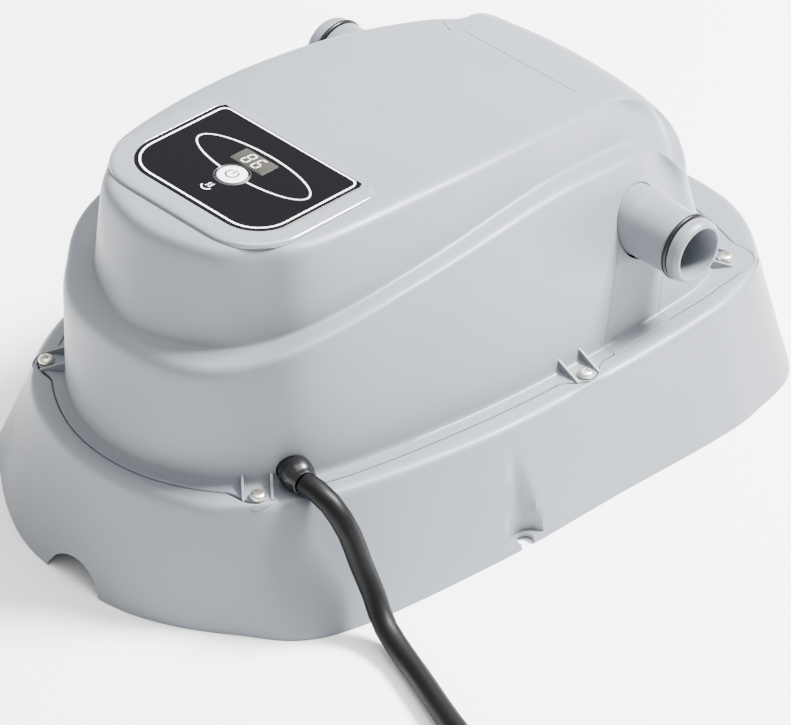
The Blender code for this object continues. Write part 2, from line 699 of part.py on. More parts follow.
# ---------------------------------------------------------------- console
def console_frame():
    """Turns the console's own frame to the part's: level with its label, leaning back."""
    tilt = Matrix.Rotation(math.atan(PANEL_SLOPE), 4, "X")
    return Matrix.Translation(mm(0, PANEL_Y, PANEL_Z)) @ tilt


def place_turned(name, profile, spot, finish_material, sides):
    thing = turned(name, profile, (0, -SHIFT_Y, 0), (0, 0, 1), finish_material, sides)
    offset = Matrix.Translation(Vector((spot[0], spot[1], 0)) * 0.001)
    return move_mesh(thing, console_frame() @ offset)


def rectangle(low_x, low_y, high_x, high_y):
    return [(low_x, low_y), (high_x, low_y), (high_x, high_y), (low_x, high_y)]


def corner_arc(cx, cy, radius, start, steps=5):
    made = []
    for step in range(steps + 1):
        angle = math.radians(start + 90.0 * step / steps)
        made.append((cx + radius * math.cos(angle), cy + radius * math.sin(angle)))
    return made


def rounded(half, front, back, radius, back_radius=None):
    """A D-shaped outline: full corners at the front, small ones at the back."""
    rear = back_radius if back_radius is not None else radius
    return (corner_arc(half - rear, back - rear, rear, 0) + corner_arc(-half + rear, back - rear, rear, 90)
            + corner_arc(-half + radius, front + radius, radius, 180)
            + corner_arc(half - radius, front + radius, radius, 270))


def make_console():
    place = console_frame()
    bezel = plate("console_bezel", rounded(*BEZEL), -1.0, 0.4, gloss_grey(), place)
    well = plate("bezel_well", rounded(49.0, -32.0, 27.0, 13.0), -4.0, -0.8, gloss_grey(), place)
    cut(bezel, well, "UNION")
    half, front, back, radius, rear = LABEL
    recess = rounded(half + GAP, front - GAP, back + GAP, radius + GAP, rear + GAP)
    cut(bezel, plate("label_recess", recess, -0.7, 3.0, gloss_grey(), place))
    cut(bezel, place_turned("button_guide", [(0, -8), (8.2, -8), (8.2, 4), (0, 4)], (0, BUTTON_Y),
                            gloss_grey(), 20))
    cut(bezel, plate("window_hole", rectangle(-12.3, 4.2, 12.3, 15.8), -8, 4, gloss_grey(), place))
    label = plate("console_label", rounded(*LABEL), -0.4, 0.1, black_gloss(), place)
    cut(label, place_turned("label_button_hole", [(0, -8), (8.2, -8), (8.2, 4), (0, 4)], (0, BUTTON_Y),
                            black_gloss(), 20))
    cut(label, plate("label_window", rectangle(-12.3, 4.2, 12.3, 15.8), -8, 4, black_gloss(), place))
    plate("display_window", rectangle(-12.0, 4.5, 12.0, 15.5), -2.6, 0.0, smoked_clear(), place)
    return bezel


def make_button():
    profile = [(0, STEM_LOW), (3.0, STEM_LOW), (3.0, -5.6), (9.6, -5.6), (9.6, -4.3), (BUTTON_R, -4.3),
               (BUTTON_R, 0.6), (7.2, 1.1), (0, 1.1)]
    thing = place_turned("power_button", profile, (0, BUTTON_Y), white_plastic(), 20)
    origin = console_frame() @ Vector((0, BUTTON_Y * 0.001, 0))
    set_origin(thing, origin)
    return thing


# ---------------------------------------------------------------- mains lead
def cord_route():
    start = gland_point(12.3)
    lead = gland_point(17.0)
    return [tuple(start), tuple(lead)] + CORD_ROUTE


def make_gland():
    profile = [(5.8, -12.5), (7.7, -12.5), (7.7, -9.0), (6.9, -9.0), (6.9, 1.0), (7.6, 1.0), (7.6, 4.0),
               (6.9, 5.5), (6.7, 12.0), (5.8, 12.0)]
    turned("cable_gland", profile, GLAND_AT, GLAND_DIR, black_rubber(), 16)


def make_cord():
    tube("mains_cord", smooth_path(cord_route(), 11.0), CORD_R, black_rubber(), 2)
    inside = [tuple(gland_point(9.5)), tuple(gland_point(0)), tuple(gland_point(-12)),
              (44.0, -158.0, 70.0), (34.0, -146.0, 76.0), (29.0, -132.0, 79.0), (27.0, -118.5, 79.0)]
    tube("supply_tail", smooth_path(inside, 11.0), CORD_R, black_rubber(), 2)
    x, y = COIL_AT
    profile = [(COIL_IN, 0.2), (COIL_OUT, 0.2), (COIL_OUT, COIL_TOP), (COIL_IN, COIL_TOP)]
    turned("cord_coil", profile, (x, y, 0), (0, 0, 1), black_rubber(), 36)


def coil_spot(angle, radius, height):
    x, y = COIL_AT
    turn = math.radians(angle)
    return (x + radius * math.cos(turn), y + radius * math.sin(turn), height)


def make_plug():
    """A moulded round plug with two pins, lying on the coil."""
    lying = COIL_TOP + GAP
    heart = Vector(coil_spot(PLUG_ANGLE, 60.5, lying + 18.5))
    facing = Vector((-1, -1, 0)).normalized()
    body = [(0, -14.0), (18.2, -14.0), (18.2, -9.0), (17.2, -8.0), (17.2, 6.0), (13.0, 12.0), (8.0, 17.0),
            (6.6, 30.0), (0, 30.0)]
    thing = turned("mains_plug", body, heart, -facing, black_plastic(), 20)
    sideways = Vector((facing.y, -facing.x, 0))
    for side in (-1, 1):
        start = heart + facing * 13.0 + sideways * 9.5 * side
        cut(thing, rod("pin", 2.4, start, start + facing * 20.0, steel(), 10), "UNION")
    rear = heart - facing * 30.6
    tail = [tuple(rear), tuple(rear - facing * 12.0), coil_spot(6.0, 66.5, 36.0), coil_spot(24.0, 63.5, 29.0),
            coil_spot(45.0, 61.0, 28.2), coil_spot(70.0, 60.5, 28.2)]
    tube("cord_tail", smooth_path(tail, 11.0), CORD_R, black_rubber(), 2)
    return thing


# ---------------------------------------------------------------- wires inside
def make_wires():
    left = [(-30, 8.9, PIPE_Z), (-30, 2, PIPE_Z - 1), (-28, -8, 99), (-20, -22, 92), (-14, -43.5, 88)]
    right = [(30, 8.9, PIPE_Z), (30, 2, PIPE_Z - 1), (28, -8, 99), (20, -22, 92), (14, -43.5, 88)]
    tube("element_lead_left", smooth_path(left, 7.0), 1.6, silicone(), 1)
    tube("element_lead_right", smooth_path(right, 7.0), 1.6, silicone(), 1)
    ribbon = [(-30, -132, 160.0), (-33, -134, 150), (-38, -130, 120), (-38, -120, 92), (-36, -112, 80),
              (-36, -111, 72.2)]
    tube("display_cable", smooth_path(ribbon, 9.0), 1.6, white_plastic(), 1)


def build():
    clear_scene()
    make_lower_housing()
    make_upper_housing()
    make_gasket()
    make_base_tray()
    make_screws()
    for side in (1, -1):
        make_hose_tail(side)
        make_o_ring(side)
    make_chamber()
    make_element()
    make_chamber_fittings()
    make_paddle()
    make_chamber_brackets()
    make_main_board()
    make_display_board()
    make_console()
    make_button()
    make_gland()
    make_cord()
    make_plug()
    make_wires()


build()
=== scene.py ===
"""Looks for a small free-standing pool heater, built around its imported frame.

Sizes are millimetres in a working frame whose origin is a little in front of the
heater's middle; mm() turns them to metres in the frame's own place.
"""

import json
import math

import bmesh
import bpy
from mathutils import Matrix, Vector


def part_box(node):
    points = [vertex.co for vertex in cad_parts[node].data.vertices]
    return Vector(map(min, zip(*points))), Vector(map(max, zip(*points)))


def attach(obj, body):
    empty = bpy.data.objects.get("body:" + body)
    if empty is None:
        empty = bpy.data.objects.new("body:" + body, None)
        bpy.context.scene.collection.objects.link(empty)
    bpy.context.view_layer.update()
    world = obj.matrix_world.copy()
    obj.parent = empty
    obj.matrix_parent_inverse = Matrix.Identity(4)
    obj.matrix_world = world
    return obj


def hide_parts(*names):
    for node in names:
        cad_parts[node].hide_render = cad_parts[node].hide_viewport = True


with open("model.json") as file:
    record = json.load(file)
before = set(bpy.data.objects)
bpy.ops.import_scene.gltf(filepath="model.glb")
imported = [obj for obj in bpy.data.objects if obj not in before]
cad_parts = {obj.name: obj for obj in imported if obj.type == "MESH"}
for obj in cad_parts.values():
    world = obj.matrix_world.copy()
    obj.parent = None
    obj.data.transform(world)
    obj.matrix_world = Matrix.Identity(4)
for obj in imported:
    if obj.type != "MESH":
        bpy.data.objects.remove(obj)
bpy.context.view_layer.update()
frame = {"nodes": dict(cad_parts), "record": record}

# ---- sizes
BODY = "heater"
SHIFT_Y = 43.0
MM = 0.001
WALL = 2.3                 # shown wall of both housings
AROUND = 14                # points between two stations of a rail
SEAM_Z = 62.0              # ledge and flange height
REBATE_Z = 57.4
BULGE = 7.6                # how far the seam swings out round each screw
BULGE_REACH = 14.0
LEDGE_KEPT = 3.0           # ledge left outside a bulge
FLANGE_SPREAD = 0.1
SEAM_GAP = 0.45            # shadow line between flange and ledge
TAIL_HOLE_R = 17.1
GLAND_HOLE_R = 7.3
LEAD_START = 12.3          # where the lead leaves its gland
PANEL_Y = -126.0           # middle of the console
PANEL_Z = 177.0
PANEL_SLOPE = -0.035
BUTTON_Y = -5.0            # in the console's own frame
SADDLE_FOOT = (8.0, 46.0)
SADDLE_LEAN = 0.585
GLAND_AT = (74.0, -166.0, 68.3)
GLAND_DIR = Vector((0.97, -0.25, 0.0)).normalized()
CORD_R = 5.5
COIL_AT = (263.0, -283.0)
COIL_RADII = (71.5, 60.3, 49.1)
COIL_LAYERS = (6.2, 17.4)
COIL_START = 80.0          # angle where the lead meets the coil, degrees
STEP_TURN = 60.0           # sweep in which the lead steps to its next turn
COIL_END = 2166            # six turns and a little, degrees
TOP_RISE = 11.0            # the last climb, onto the top layer
PLUG_ANGLE = -45.0
PLUG_RISE = 18.5
PLUG_REAR = 30.6
POCKET_Y = -69.0           # tapered pocket low on each side of the skirt
POCKET_TOP = 50.0
POCKET_HALF = 10.0
POCKET_DEPTH = 8.0
LIP_Z = 3.6                # thickness of the pocket's floor

FOOT_RAIL = [(0, -238, 0), (40, -233, 0), (80, -211, 0), (113, -178, 0), (129, -90, 0), (134, -8, 0),
             (138, 52, 0), (136.5, 84, 0), (124, 122, 0), (72, 149, 0), (0, 152, 0)]
LEDGE_RAIL = [(0, -224, 57), (36, -218, 57), (70, -199, 57), (95, -160, 57), (115, -82, 57), (121.5, -8, 57),
              (123, 52, 57), (120.5, 84, 57), (108, 114, 57), (66, 141, 57), (0, 143.5, 57)]
SEAM_RAIL = [(0, -214.5, 62), (34, -208, 62), (66, -187, 62), (87, -151, 62), (103.5, -75, 62),
             (110.5, -5, 62),
             (110.5, 50, 62), (110, 80, 62), (103.5, 106, 62), (62, 121, 62), (0, 125, 62)]
WALL_RAIL = [(0, -209.5, 62.3), (32, -203, 62.3), (61.5, -183, 62.3), (81, -148, 62.3), (97, -74, 62.3),
             (104, -4, 62.3), (104, 50, 62.3), (102, 78, 62.3), (91.5, 96, 62.3), (57, 114, 62.3),
             (0, 119, 62.3)]
SHOULDER_RAIL = [(0, -208, 112), (36, -201, 113), (60, -182, 118), (78, -150, 128), (86, -78, 134),
                 (83.5, -4, 133), (78, 52, 130), (75, 76, 117), (80, 92, 99), (50, 110, 104), (0, 116, 104)]
CREASE_RAIL = [(0, -196, 126), (37, -183, 126.5), (55, -165, 129), (69, -137, 136), (75, -75, 143),
               (70, -4, 143), (64.5, 46, 135), (66, 72, 128), (71, 91, 112), (46, 106, 118), (0, 111, 120)]
CROWN_RAIL = [(0, -189, 166), (34, -180, 166), (52, -162, 166), (65, -138, 166), (70, -75, 165),
              (67, -8, 159), (59, 45, 150), (54, 70, 142), (60, 92, 126), (40, 98, 131), (0, 102, 131)]
ROOF_RAIL = [(0, -180), (30, -172), (45, -156), (56, -134), (60, -75), (57, -8), (50, 40), (46, 62), (46, 75),
             (28, 80), (0, 82)]
LABEL = (46.5, -33.8, 34.7, 20.0, 6.5)
BEZEL = (56.0, -45.5, 36.2, 29.0, 9.0)
CORD_ROUTE = [(96.0, -168.8, 67.6), (105.0, -168.0, 61.5), (111.0, -165.5, 50.0),
              (116.0, -164.0, 36.0), (122.5, -163.0, 23.0), (133.0, -165.8, 11.0), (149.0, -170.2, 6.2),
              (167.0, -176.5, 5.8), (196.0, -187.5, 5.8), (222.0, -195.5, 5.8), (244.5, -203.6, 5.8)]


def mm(x, y, z):
    return Vector((x, y + SHIFT_Y, z)) * MM


def unmm(point):
    return point / MM - Vector((0, SHIFT_Y, 0))


tail_low, tail_high = (unmm(corner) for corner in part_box("hose_tail_right"))
PIPE_Y = (tail_low.y + tail_high.y) / 2
PIPE_Z = (tail_low.z + tail_high.z) / 2
TIP_X = tail_high.x


def screw_spot(index):
    low, high = (unmm(corner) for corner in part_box(f"housing_screw_{index}"))
    return (low + high) / 2, low.z, high.z


SCREW_SPOTS = [screw_spot(index)[0] for index in range(1, 7)]


# ---- shader groups
def new_group(name, inputs, outputs):
    group = bpy.data.node_groups.new(name, "ShaderNodeTree")
    for label, kind, value in inputs:
        socket = group.interface.new_socket(label, in_out="INPUT", socket_type=kind)
        socket.default_value = value
    for label, kind in outputs:
        group.interface.new_socket(label, in_out="OUTPUT", socket_type=kind)
    enter = group.nodes.new("NodeGroupInput")
    leave = group.nodes.new("NodeGroupOutput")
    return group, enter, leave


def noise(tree, scale, detail, vector, roughness=0.5):
    made = tree.nodes.new("ShaderNodeTexNoise")
    made.inputs["Scale"].default_value = scale
    made.inputs["Detail"].default_value = detail
    made.inputs["Roughness"].default_value = roughness
    tree.links.new(vector, made.inputs["Vector"])
    return made.outputs["Fac"]


def remap(tree, value, low, high, to_low, to_high):
    made = tree.nodes.new("ShaderNodeMapRange")
    tree.links.new(value, made.inputs["Value"])
    for label, amount in (("From Min", low), ("From Max", high), ("To Min", to_low), ("To Max", to_high)):
        made.inputs[label].default_value = amount
    return made.outputs["Result"]


def blend_colour(tree, factor, first, second):
    made = tree.nodes.new("ShaderNodeMix")
    made.data_type = "RGBA"
    for place, source in ((0, factor), (6, first), (7, second)):
        if isinstance(source, bpy.types.NodeSocket):
            tree.links.new(source, made.inputs[place])
        elif place == 0:
            made.inputs[0].default_value = source
        else:
            made.inputs[place].default_value = (*source, 1.0)
    return made.outputs[2]


def arithmetic(tree, operation, first, second=0.0):
    made = tree.nodes.new("ShaderNodeMath")
    made.operation = operation
    for place, source in enumerate((first, second)):
        if isinstance(source, bpy.types.NodeSocket):
            tree.links.new(source, made.inputs[place])
        else:
            made.inputs[place].default_value = source
    return made.outputs[0]


def make_moulded_group():
    """Spark-eroded grain of a moulding: fine height, roughness that drifts, and a soft tone drift."""
    group, enter, leave = new_group(
        "moulded_grain",
        [("Vector", "NodeSocketVector", (0, 0, 0)), ("Tone", "NodeSocketColor", (0.5, 0.5, 0.5, 1)),
         ("Shade", "NodeSocketColor", (0.4, 0.4, 0.4, 1)), ("Roughness", "NodeSocketFloat", 0.4)],
        [("Color", "NodeSocketColor"), ("Roughness", "NodeSocketFloat"), ("Height", "NodeSocketFloat")])
    where = enter.outputs["Vector"]
    drift = remap(group, noise(group, 9.0, 3.0, where), 0.35, 0.65, 0.0, 0.35)
    speck = remap(group, noise(group, 900.0, 2.0, where), 0.3, 0.7, 0.0, 0.18)
    colour = blend_colour(group, arithmetic(group, "ADD", drift, speck), enter.outputs["Tone"],
                          enter.outputs["Shade"])
    group.links.new(colour, leave.inputs["Color"])
    polish = remap(group, noise(group, 28.0, 4.0, where), 0.3, 0.7, -0.05, 0.06)
    group.links.new(arithmetic(group, "ADD", enter.outputs["Roughness"], polish), leave.inputs["Roughness"])
    grain = noise(group, 1400.0, 3.0, where, 0.6)
    wave = arithmetic(group, "MULTIPLY", noise(group, 22.0, 2.0, where), 3.0)
    group.links.new(arithmetic(group, "ADD", grain, wave), leave.inputs["Height"])
    return group


def make_scuff_group():
    """Fine hairline scuffs, stretched along one direction by the caller's mapping."""
    group, enter, leave = new_group(
        "hairline_scuffs", [("Vector", "NodeSocketVector", (0, 0, 0)), ("Amount", "NodeSocketFloat", 0.2)],
        [("Mask", "NodeSocketFloat"), ("Height", "NodeSocketFloat")])
    stretch = group.nodes.new("ShaderNodeMapping")
    stretch.inputs["Scale"].default_value = (1.0, 14.0, 1.0)
    group.links.new(enter.outputs["Vector"], stretch.inputs["Vector"])
    lines = noise(group, 260.0, 6.0, stretch.outputs["Vector"], 0.7)
    mask = remap(group, lines, 0.52, 0.72, 0.0, 1.0)
    group.links.new(arithmetic(group, "MULTIPLY", mask, enter.outputs["Amount"]), leave.inputs["Mask"])
    group.links.new(lines, leave.inputs["Height"])
    return group


MOULDED = make_moulded_group()
SCUFFS = make_scuff_group()


def new_material(name, roughness, metallic=0.0):
    made = bpy.data.materials.new(name)
    made.use_nodes = True
    tree = made.node_tree
    shader = tree.nodes["Principled BSDF"]
    shader.inputs["Roughness"].default_value = roughness
    shader.inputs["Metallic"].default_value = metallic
    coordinates = tree.nodes.new("ShaderNodeTexCoord")
    return made, tree, shader, coordinates.outputs["Object"]


def place_group(tree, group, vector):
    made = tree.nodes.new("ShaderNodeGroup")
    made.node_tree = group
    tree.links.new(vector, made.inputs["Vector"])
    return made


def bump(tree, shader, height, strength, distance):
    made = tree.nodes.new("ShaderNodeBump")
    made.inputs["Strength"].default_value = strength
    made.inputs["Distance"].default_value = distance
    tree.links.new(height, made.inputs["Height"])
    tree.links.new(made.outputs["Normal"], shader.inputs["Normal"])


def moulded(name, tone, shade, roughness, strength, coat=0.0, specular=0.5):
    """A moulded or cast finish with grain; coat adds a lacquer-like gloss."""
    made, tree, shader, where = new_material(name, roughness)
    grain = place_group(tree, MOULDED, where)
    grain.inputs["Tone"].default_value = (*tone, 1)
    grain.inputs["Shade"].default_value = (*shade, 1)
    grain.inputs["Roughness"].default_value = roughness
    tree.links.new(grain.outputs["Color"], shader.inputs["Base Color"])
    tree.links.new(grain.outputs["Roughness"], shader.inputs["Roughness"])
    bump(tree, shader, grain.outputs["Height"], strength, 0.00012)
    shader.inputs["Coat Weight"].default_value = coat
    shader.inputs["Coat Roughness"].default_value = 0.06
    shader.inputs["Specular IOR Level"].default_value = specular
    return made


def brushed(name, tone, shade, roughness):
    """Drawn or turned metal with hairline scuffs."""
    made, tree, shader, where = new_material(name, roughness, 1.0)
    lines = place_group(tree, SCUFFS, where)
    lines.inputs["Amount"].default_value = 0.8
    tree.links.new(blend_colour(tree, lines.outputs["Mask"], tone, shade), shader.inputs["Base Color"])
    tree.links.new(remap(tree, lines.outputs["Mask"], 0.0, 0.8, roughness, roughness + 0.15),
                   shader.inputs["Roughness"])
    bump(tree, shader, lines.outputs["Height"], 0.15, 0.0001)
    return made


def glossy_film(name, tone, shade, roughness, amount):
    """A printed film or lens with faint hairlines in its gloss."""
    made, tree, shader, where = new_material(name, roughness)
    lines = place_group(tree, SCUFFS, where)
    lines.inputs["Amount"].default_value = amount
    tree.links.new(blend_colour(tree, lines.outputs["Mask"], tone, shade), shader.inputs["Base Color"])
    tree.links.new(remap(tree, lines.outputs["Mask"], 0.0, 1.0, roughness, roughness + 0.12),
                   shader.inputs["Roughness"])
    shader.inputs["Specular IOR Level"].default_value = 0.12
    return made


# Pale digit segments with a weak emission: a painted glow, since the segments are no lamp.
def painted_glow_segment(name, tone, strength):
    made, tree, shader, where = new_material(name, 0.35)
    glow = remap(tree, noise(tree, 300.0, 2.0, where), 0.3, 0.7, 0.85, 1.0)
    tree.links.new(blend_colour(tree, glow, (0.2, 0.19, 0.17), tone), shader.inputs["Base Color"])
    shader.inputs["Emission Color"].default_value = (*tone, 1)
    shader.inputs["Emission Strength"].default_value = strength
    return made


NEAR_BLACK, SOFT_BLACK = (0.004, 0.004, 0.0045), (0.007, 0.007, 0.0075)
HOUSING_GREY = moulded("housing_grey_moulded", (0.160, 0.175, 0.195), (0.143, 0.158, 0.178), 0.40, 0.22,
                       specular=0.4)
TAIL_GREY = moulded("tail_grey_moulded", (0.150, 0.162, 0.182), (0.133, 0.145, 0.164), 0.36, 0.18,
                    specular=0.4)
BEZEL_GREY = moulded("bezel_grey_gloss", (0.178, 0.192, 0.213), (0.165, 0.179, 0.2), 0.14, 0.06, 0.5)
LABEL_BLACK = glossy_film("label_black_film", (0.001, 0.0012, 0.002), (0.004, 0.004, 0.005), 0.28, 0.2)
WINDOW_SMOKE = glossy_film("window_smoked_lens", (0.035, 0.033, 0.030), (0.05, 0.047, 0.043), 0.2, 0.2)
PRINT_WHITE = moulded("print_white_ink", (0.86, 0.87, 0.88), (0.80, 0.81, 0.82), 0.35, 0.05)
PRINT_SILVER = moulded("print_silver_ink", (0.66, 0.68, 0.72), (0.58, 0.60, 0.64), 0.28, 0.05, 0.2)
BUTTON_SILVER = moulded("button_silver_paint", (0.80, 0.81, 0.82), (0.74, 0.75, 0.77), 0.24, 0.08, 0.3)
INK_DARK = moulded("ink_dark_grey", (0.018, 0.019, 0.022), (0.03, 0.03, 0.034), 0.35, 0.05)
# digit segments: pale colour plus painted glow
DIGIT_PAINTED_GLOW = painted_glow_segment("digit_segment_painted_glow", (0.80, 0.79, 0.74), 0.12)
RUBBER_BLACK = moulded("rubber_black_cord", (0.0022, 0.0022, 0.0025), (0.004, 0.004, 0.0043), 0.45, 0.5,
                       specular=0.14)
GLAND_BLACK = moulded("gland_black_rubber", NEAR_BLACK, SOFT_BLACK, 0.26, 0.2, specular=0.35)
SEAL_BLACK = moulded("seal_black_nitrile", NEAR_BLACK, SOFT_BLACK, 0.3, 0.12, specular=0.3)
PLASTIC_BLACK = moulded("plastic_black_satin", NEAR_BLACK, SOFT_BLACK, 0.42, 0.3, specular=0.2)
PLASTIC_WHITE = moulded("plastic_white_satin", (0.72, 0.72, 0.70), (0.66, 0.66, 0.63), 0.40, 0.2)
BOARD_GREEN = moulded("board_green_lacquer", (0.018, 0.13, 0.055), (0.012, 0.10, 0.04), 0.30, 0.12, 0.4)
SILICONE_RED = moulded("silicone_red_matt", (0.52, 0.15, 0.08), (0.44, 0.12, 0.06), 0.55, 0.2)
STEEL = brushed("steel_drawn", (0.66, 0.65, 0.62), (0.50, 0.49, 0.47), 0.24)
ZINC = brushed("screw_zinc_plate", (0.74, 0.71, 0.62), (0.55, 0.52, 0.44), 0.30)
BRASS = brushed("brass_turned", (0.74, 0.53, 0.24), (0.58, 0.40, 0.16), 0.26)


# ---- modelling helpers
def deselect():
    if bpy.context.object and bpy.context.object.mode != "OBJECT":
        bpy.ops.object.mode_set(mode="OBJECT")
    bpy.ops.object.select_all(action="DESELECT")


def activate(thing):
    deselect()
    thing.select_set(True)
    bpy.context.view_layer.objects.active = thing


def settle(thing, place=None):
    """Puts an object's place in its mesh, and then moves the mesh to where it belongs."""
    bpy.context.view_layer.update()
    thing.data.transform(thing.matrix_world)
    thing.matrix_world = Matrix.Identity(4)
    if place is not None:
        thing.data.transform(place)
    return thing


def smooth(thing, angle=35.0):
    activate(thing)
    bpy.ops.object.shade_smooth_by_angle(angle=math.radians(angle))


def wear(thing, name, material, slot, *replaced, body=BODY, angle=35.0):
    """Names a finished piece, gives it its finish, and lets it ride with its body."""
    thing.name = name
    thing.data.name = name
    thing.data.materials.clear()
    thing.data.materials.append(material)
    if thing.type == "MESH":
        smooth(thing, angle)
    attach(thing, body)
    if replaced:
        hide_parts(*replaced)
    return thing


def apply_modifier(thing, kind, **values):
    step = thing.modifiers.new(kind.lower(), kind)
    for label, value in values.items():
        setattr(step, label, value)
    activate(thing)
    bpy.ops.object.modifier_apply(modifier=step.name)


def join(things):
    deselect()
    for thing in things:
        thing.select_set(True)
    bpy.context.view_layer.objects.active = things[0]
    if len(things) > 1:
        bpy.ops.object.join()
    return things[0]


def carve(thing, cutters, operation="DIFFERENCE", folded=False):
    """One Boolean with all the cutters; folded copes with a skin whose inner face crosses itself."""
    cutter = join(cutters)
    apply_modifier(thing, "BOOLEAN", operation=operation, object=cutter, solver="EXACT", use_self=folded)
    bpy.data.objects.remove(cutter, do_unlink=True)


def lathe(profile, place, sides=64):
    """Turns (radius, height) pairs: a circle is extruded and resized from ring to ring."""
    least = 0.004
    deselect()
    radius, height = profile[0]
    radius = max(radius, least)
    bpy.ops.mesh.primitive_circle_add(vertices=sides, radius=radius * MM, location=(0, 0, height * MM))
    thing = bpy.context.object
    bpy.ops.object.mode_set(mode="EDIT")
    bpy.ops.mesh.select_all(action="SELECT")
    for wide, high in profile[1:]:
        wide = max(wide, least)
        bpy.ops.mesh.extrude_region_move(TRANSFORM_OT_translate={"value": (0, 0, (high - height) * MM)})
        share = wide / radius
        bpy.ops.transform.resize(value=(share, share, 1.0), center_override=(0, 0, high * MM))
        radius, height = wide, high
    bpy.ops.mesh.select_all(action="SELECT")
    bpy.ops.mesh.remove_doubles(threshold=0.00002)
    bpy.ops.mesh.normals_make_consistent(inside=False)
    bpy.ops.object.mode_set(mode="OBJECT")
    return settle(thing, place)


def aim(point, direction):
    turn = Vector((0, 0, 1)).rotation_difference(Vector(direction).normalized()).to_matrix().to_4x4()
    return Matrix.Translation(mm(*point)) @ turn


def bar(radius, start, end, sides=48):
    """A round cutter between two points in mm."""
    run = Vector(end) - Vector(start)
    return lathe([(0, 0), (radius, 0), (radius, run.length), (0, run.length)], aim(start, run), sides)


def arc(cx, cy, radius, start, sweep=90.0, steps=10):
    made = []
    for step in range(steps + 1):
        angle = math.radians(start + sweep * step / steps)
        made.append((cx + radius * math.cos(angle), cy + radius * math.sin(angle)))
    return made


def rounded(half, front, back, radius, rear):
    return (arc(half - rear, back - rear, rear, 0) + arc(-half + rear, back - rear, rear, 90)
            + arc(-half + radius, front + radius, radius, 180)
            + arc(half - radius, front + radius, radius, 270))


def grown(outline, by):
    """A D-shaped outline's values, moved outwards all round."""
    half, front, back, radius, rear = outline
    return (half + by, front - by, back + by, max(radius + by, 0.4), max(rear + by, 0.4))


def solid_from_rows(rows, place=None, ring_shape=False):
    """Bridges rows of points into a closed solid; a ring shape also joins its last row to its first."""
    shape = bmesh.new()
    rings = [[shape.verts.new(point) for point in row] for row in rows]
    pairs = list(zip(rings, rings[1:]))
    if ring_shape:
        pairs.append((rings[-1], rings[0]))
    for lower, upper in pairs:
        for here in range(len(lower)):
            after = (here + 1) % len(lower)
            shape.faces.new([lower[here], lower[after], upper[after], upper[here]])
    if not ring_shape:
        shape.faces.new(reversed(rings[0]))
        shape.faces.new(rings[-1])
    return from_bmesh(shape, place)


def stacked(loops, place, ring_shape=False):
    """A solid from (outline, height) loops with the same number of points."""
    rows = [[Vector((x, y, height)) * MM for x, y in outline] for outline, height in loops]
    return solid_from_rows(rows, place, ring_shape)


def from_bmesh(shape, place=None):
    bmesh.ops.recalc_face_normals(shape, faces=shape.faces)
    mesh = bpy.data.meshes.new("piece")
    shape.to_mesh(mesh)
    shape.free()
    thing = bpy.data.objects.new("piece", mesh)
    bpy.context.scene.collection.objects.link(thing)
    if place is not None:
        mesh.transform(place)
    return thing


def console_frame():
    tilt = Matrix.Rotation(math.atan(PANEL_SLOPE), 4, "X")
    return Matrix.Translation(mm(0, PANEL_Y, PANEL_Z)) @ tilt


# ---- lofted skins
def catmull(four, t):
    before, start, end, after = four
    return 0.5 * (2 * start + (end - before) * t + (2 * before - 5 * start + 4 * end - after) * t * t
                  + (3 * start - before - 3 * end + after) * t ** 3)


def roof_z(y):
    past = max(0.0, y + 90.0)
    fall = PANEL_SLOPE * (min(y, -90.0) - PANEL_Y) + PANEL_SLOPE * past
    return PANEL_Z - 1.6 + fall - 0.00082 * past * past


def roof_slope(y):
    return roof_z(y + 0.5) - roof_z(y - 0.5)


def ring(rail, around=AROUND):
    """A closed loop of points from a right-half rail."""
    points = [Vector(point) for point in rail]
    flip = Vector((-1, 1, 1))
    route = [points[1] * flip] + points + [points[-2] * flip]
    half = []
    for here in range(1, len(route) - 2):
        for step in range(around):
            half.append(catmull(route[here - 1:here + 3], step / around))
    half.append(points[-1])
    return half + [point * flip for point in reversed(half[1:-1])]


def outwards(loop, here):
    along = loop[(here + 1) % len(loop)] - loop[here - 1]
    along.z = 0
    along.normalize()
    return Vector((along.y, -along.x, 0))


def offset(loop, distance):
    """A loop moved inwards in plan."""
    return [point - outwards(loop, here) * distance for here, point in enumerate(loop)]


def nearest_place(loop, spot):
    return min(range(len(loop)), key=lambda here: (loop[here].xy - spot.xy).length)


def swell_at_screws(loop):
    """Swings a loop out round each housing screw in a soft bulge that stays on the ledge."""
    made = [point.copy() for point in loop]
    ledge = ring([(x, y, 0) for x, y, z in LEDGE_RAIL])
    for spot in SCREW_SPOTS:
        nearest = nearest_place(loop, spot)
        room = min((point.xy - loop[nearest].xy).length for point in ledge) - LEDGE_KEPT
        amount = min(BULGE, room)
        for here, point in enumerate(loop):
            apart = (point.xy - loop[nearest].xy).length
            if apart < BULGE_REACH:
                share = 0.5 + 0.5 * math.cos(math.pi * apart / BULGE_REACH)
                made[here] = made[here] + outwards(loop, here) * amount * share ** 0.75
    return made


def bezier(points, steps):
    """Points along a Bezier curve, without its first."""
    made = []
    for step in range(1, steps + 1):
        row = [Vector(point) for point in points]
        t = step / steps
        while len(row) > 1:
            row = [a.lerp(b, t) for a, b in zip(row, row[1:])]
        made.append(row[0])
    return made


def straight(start, end, steps):
    return [start.lerp(end, step / steps) for step in range(1, steps + 1)]


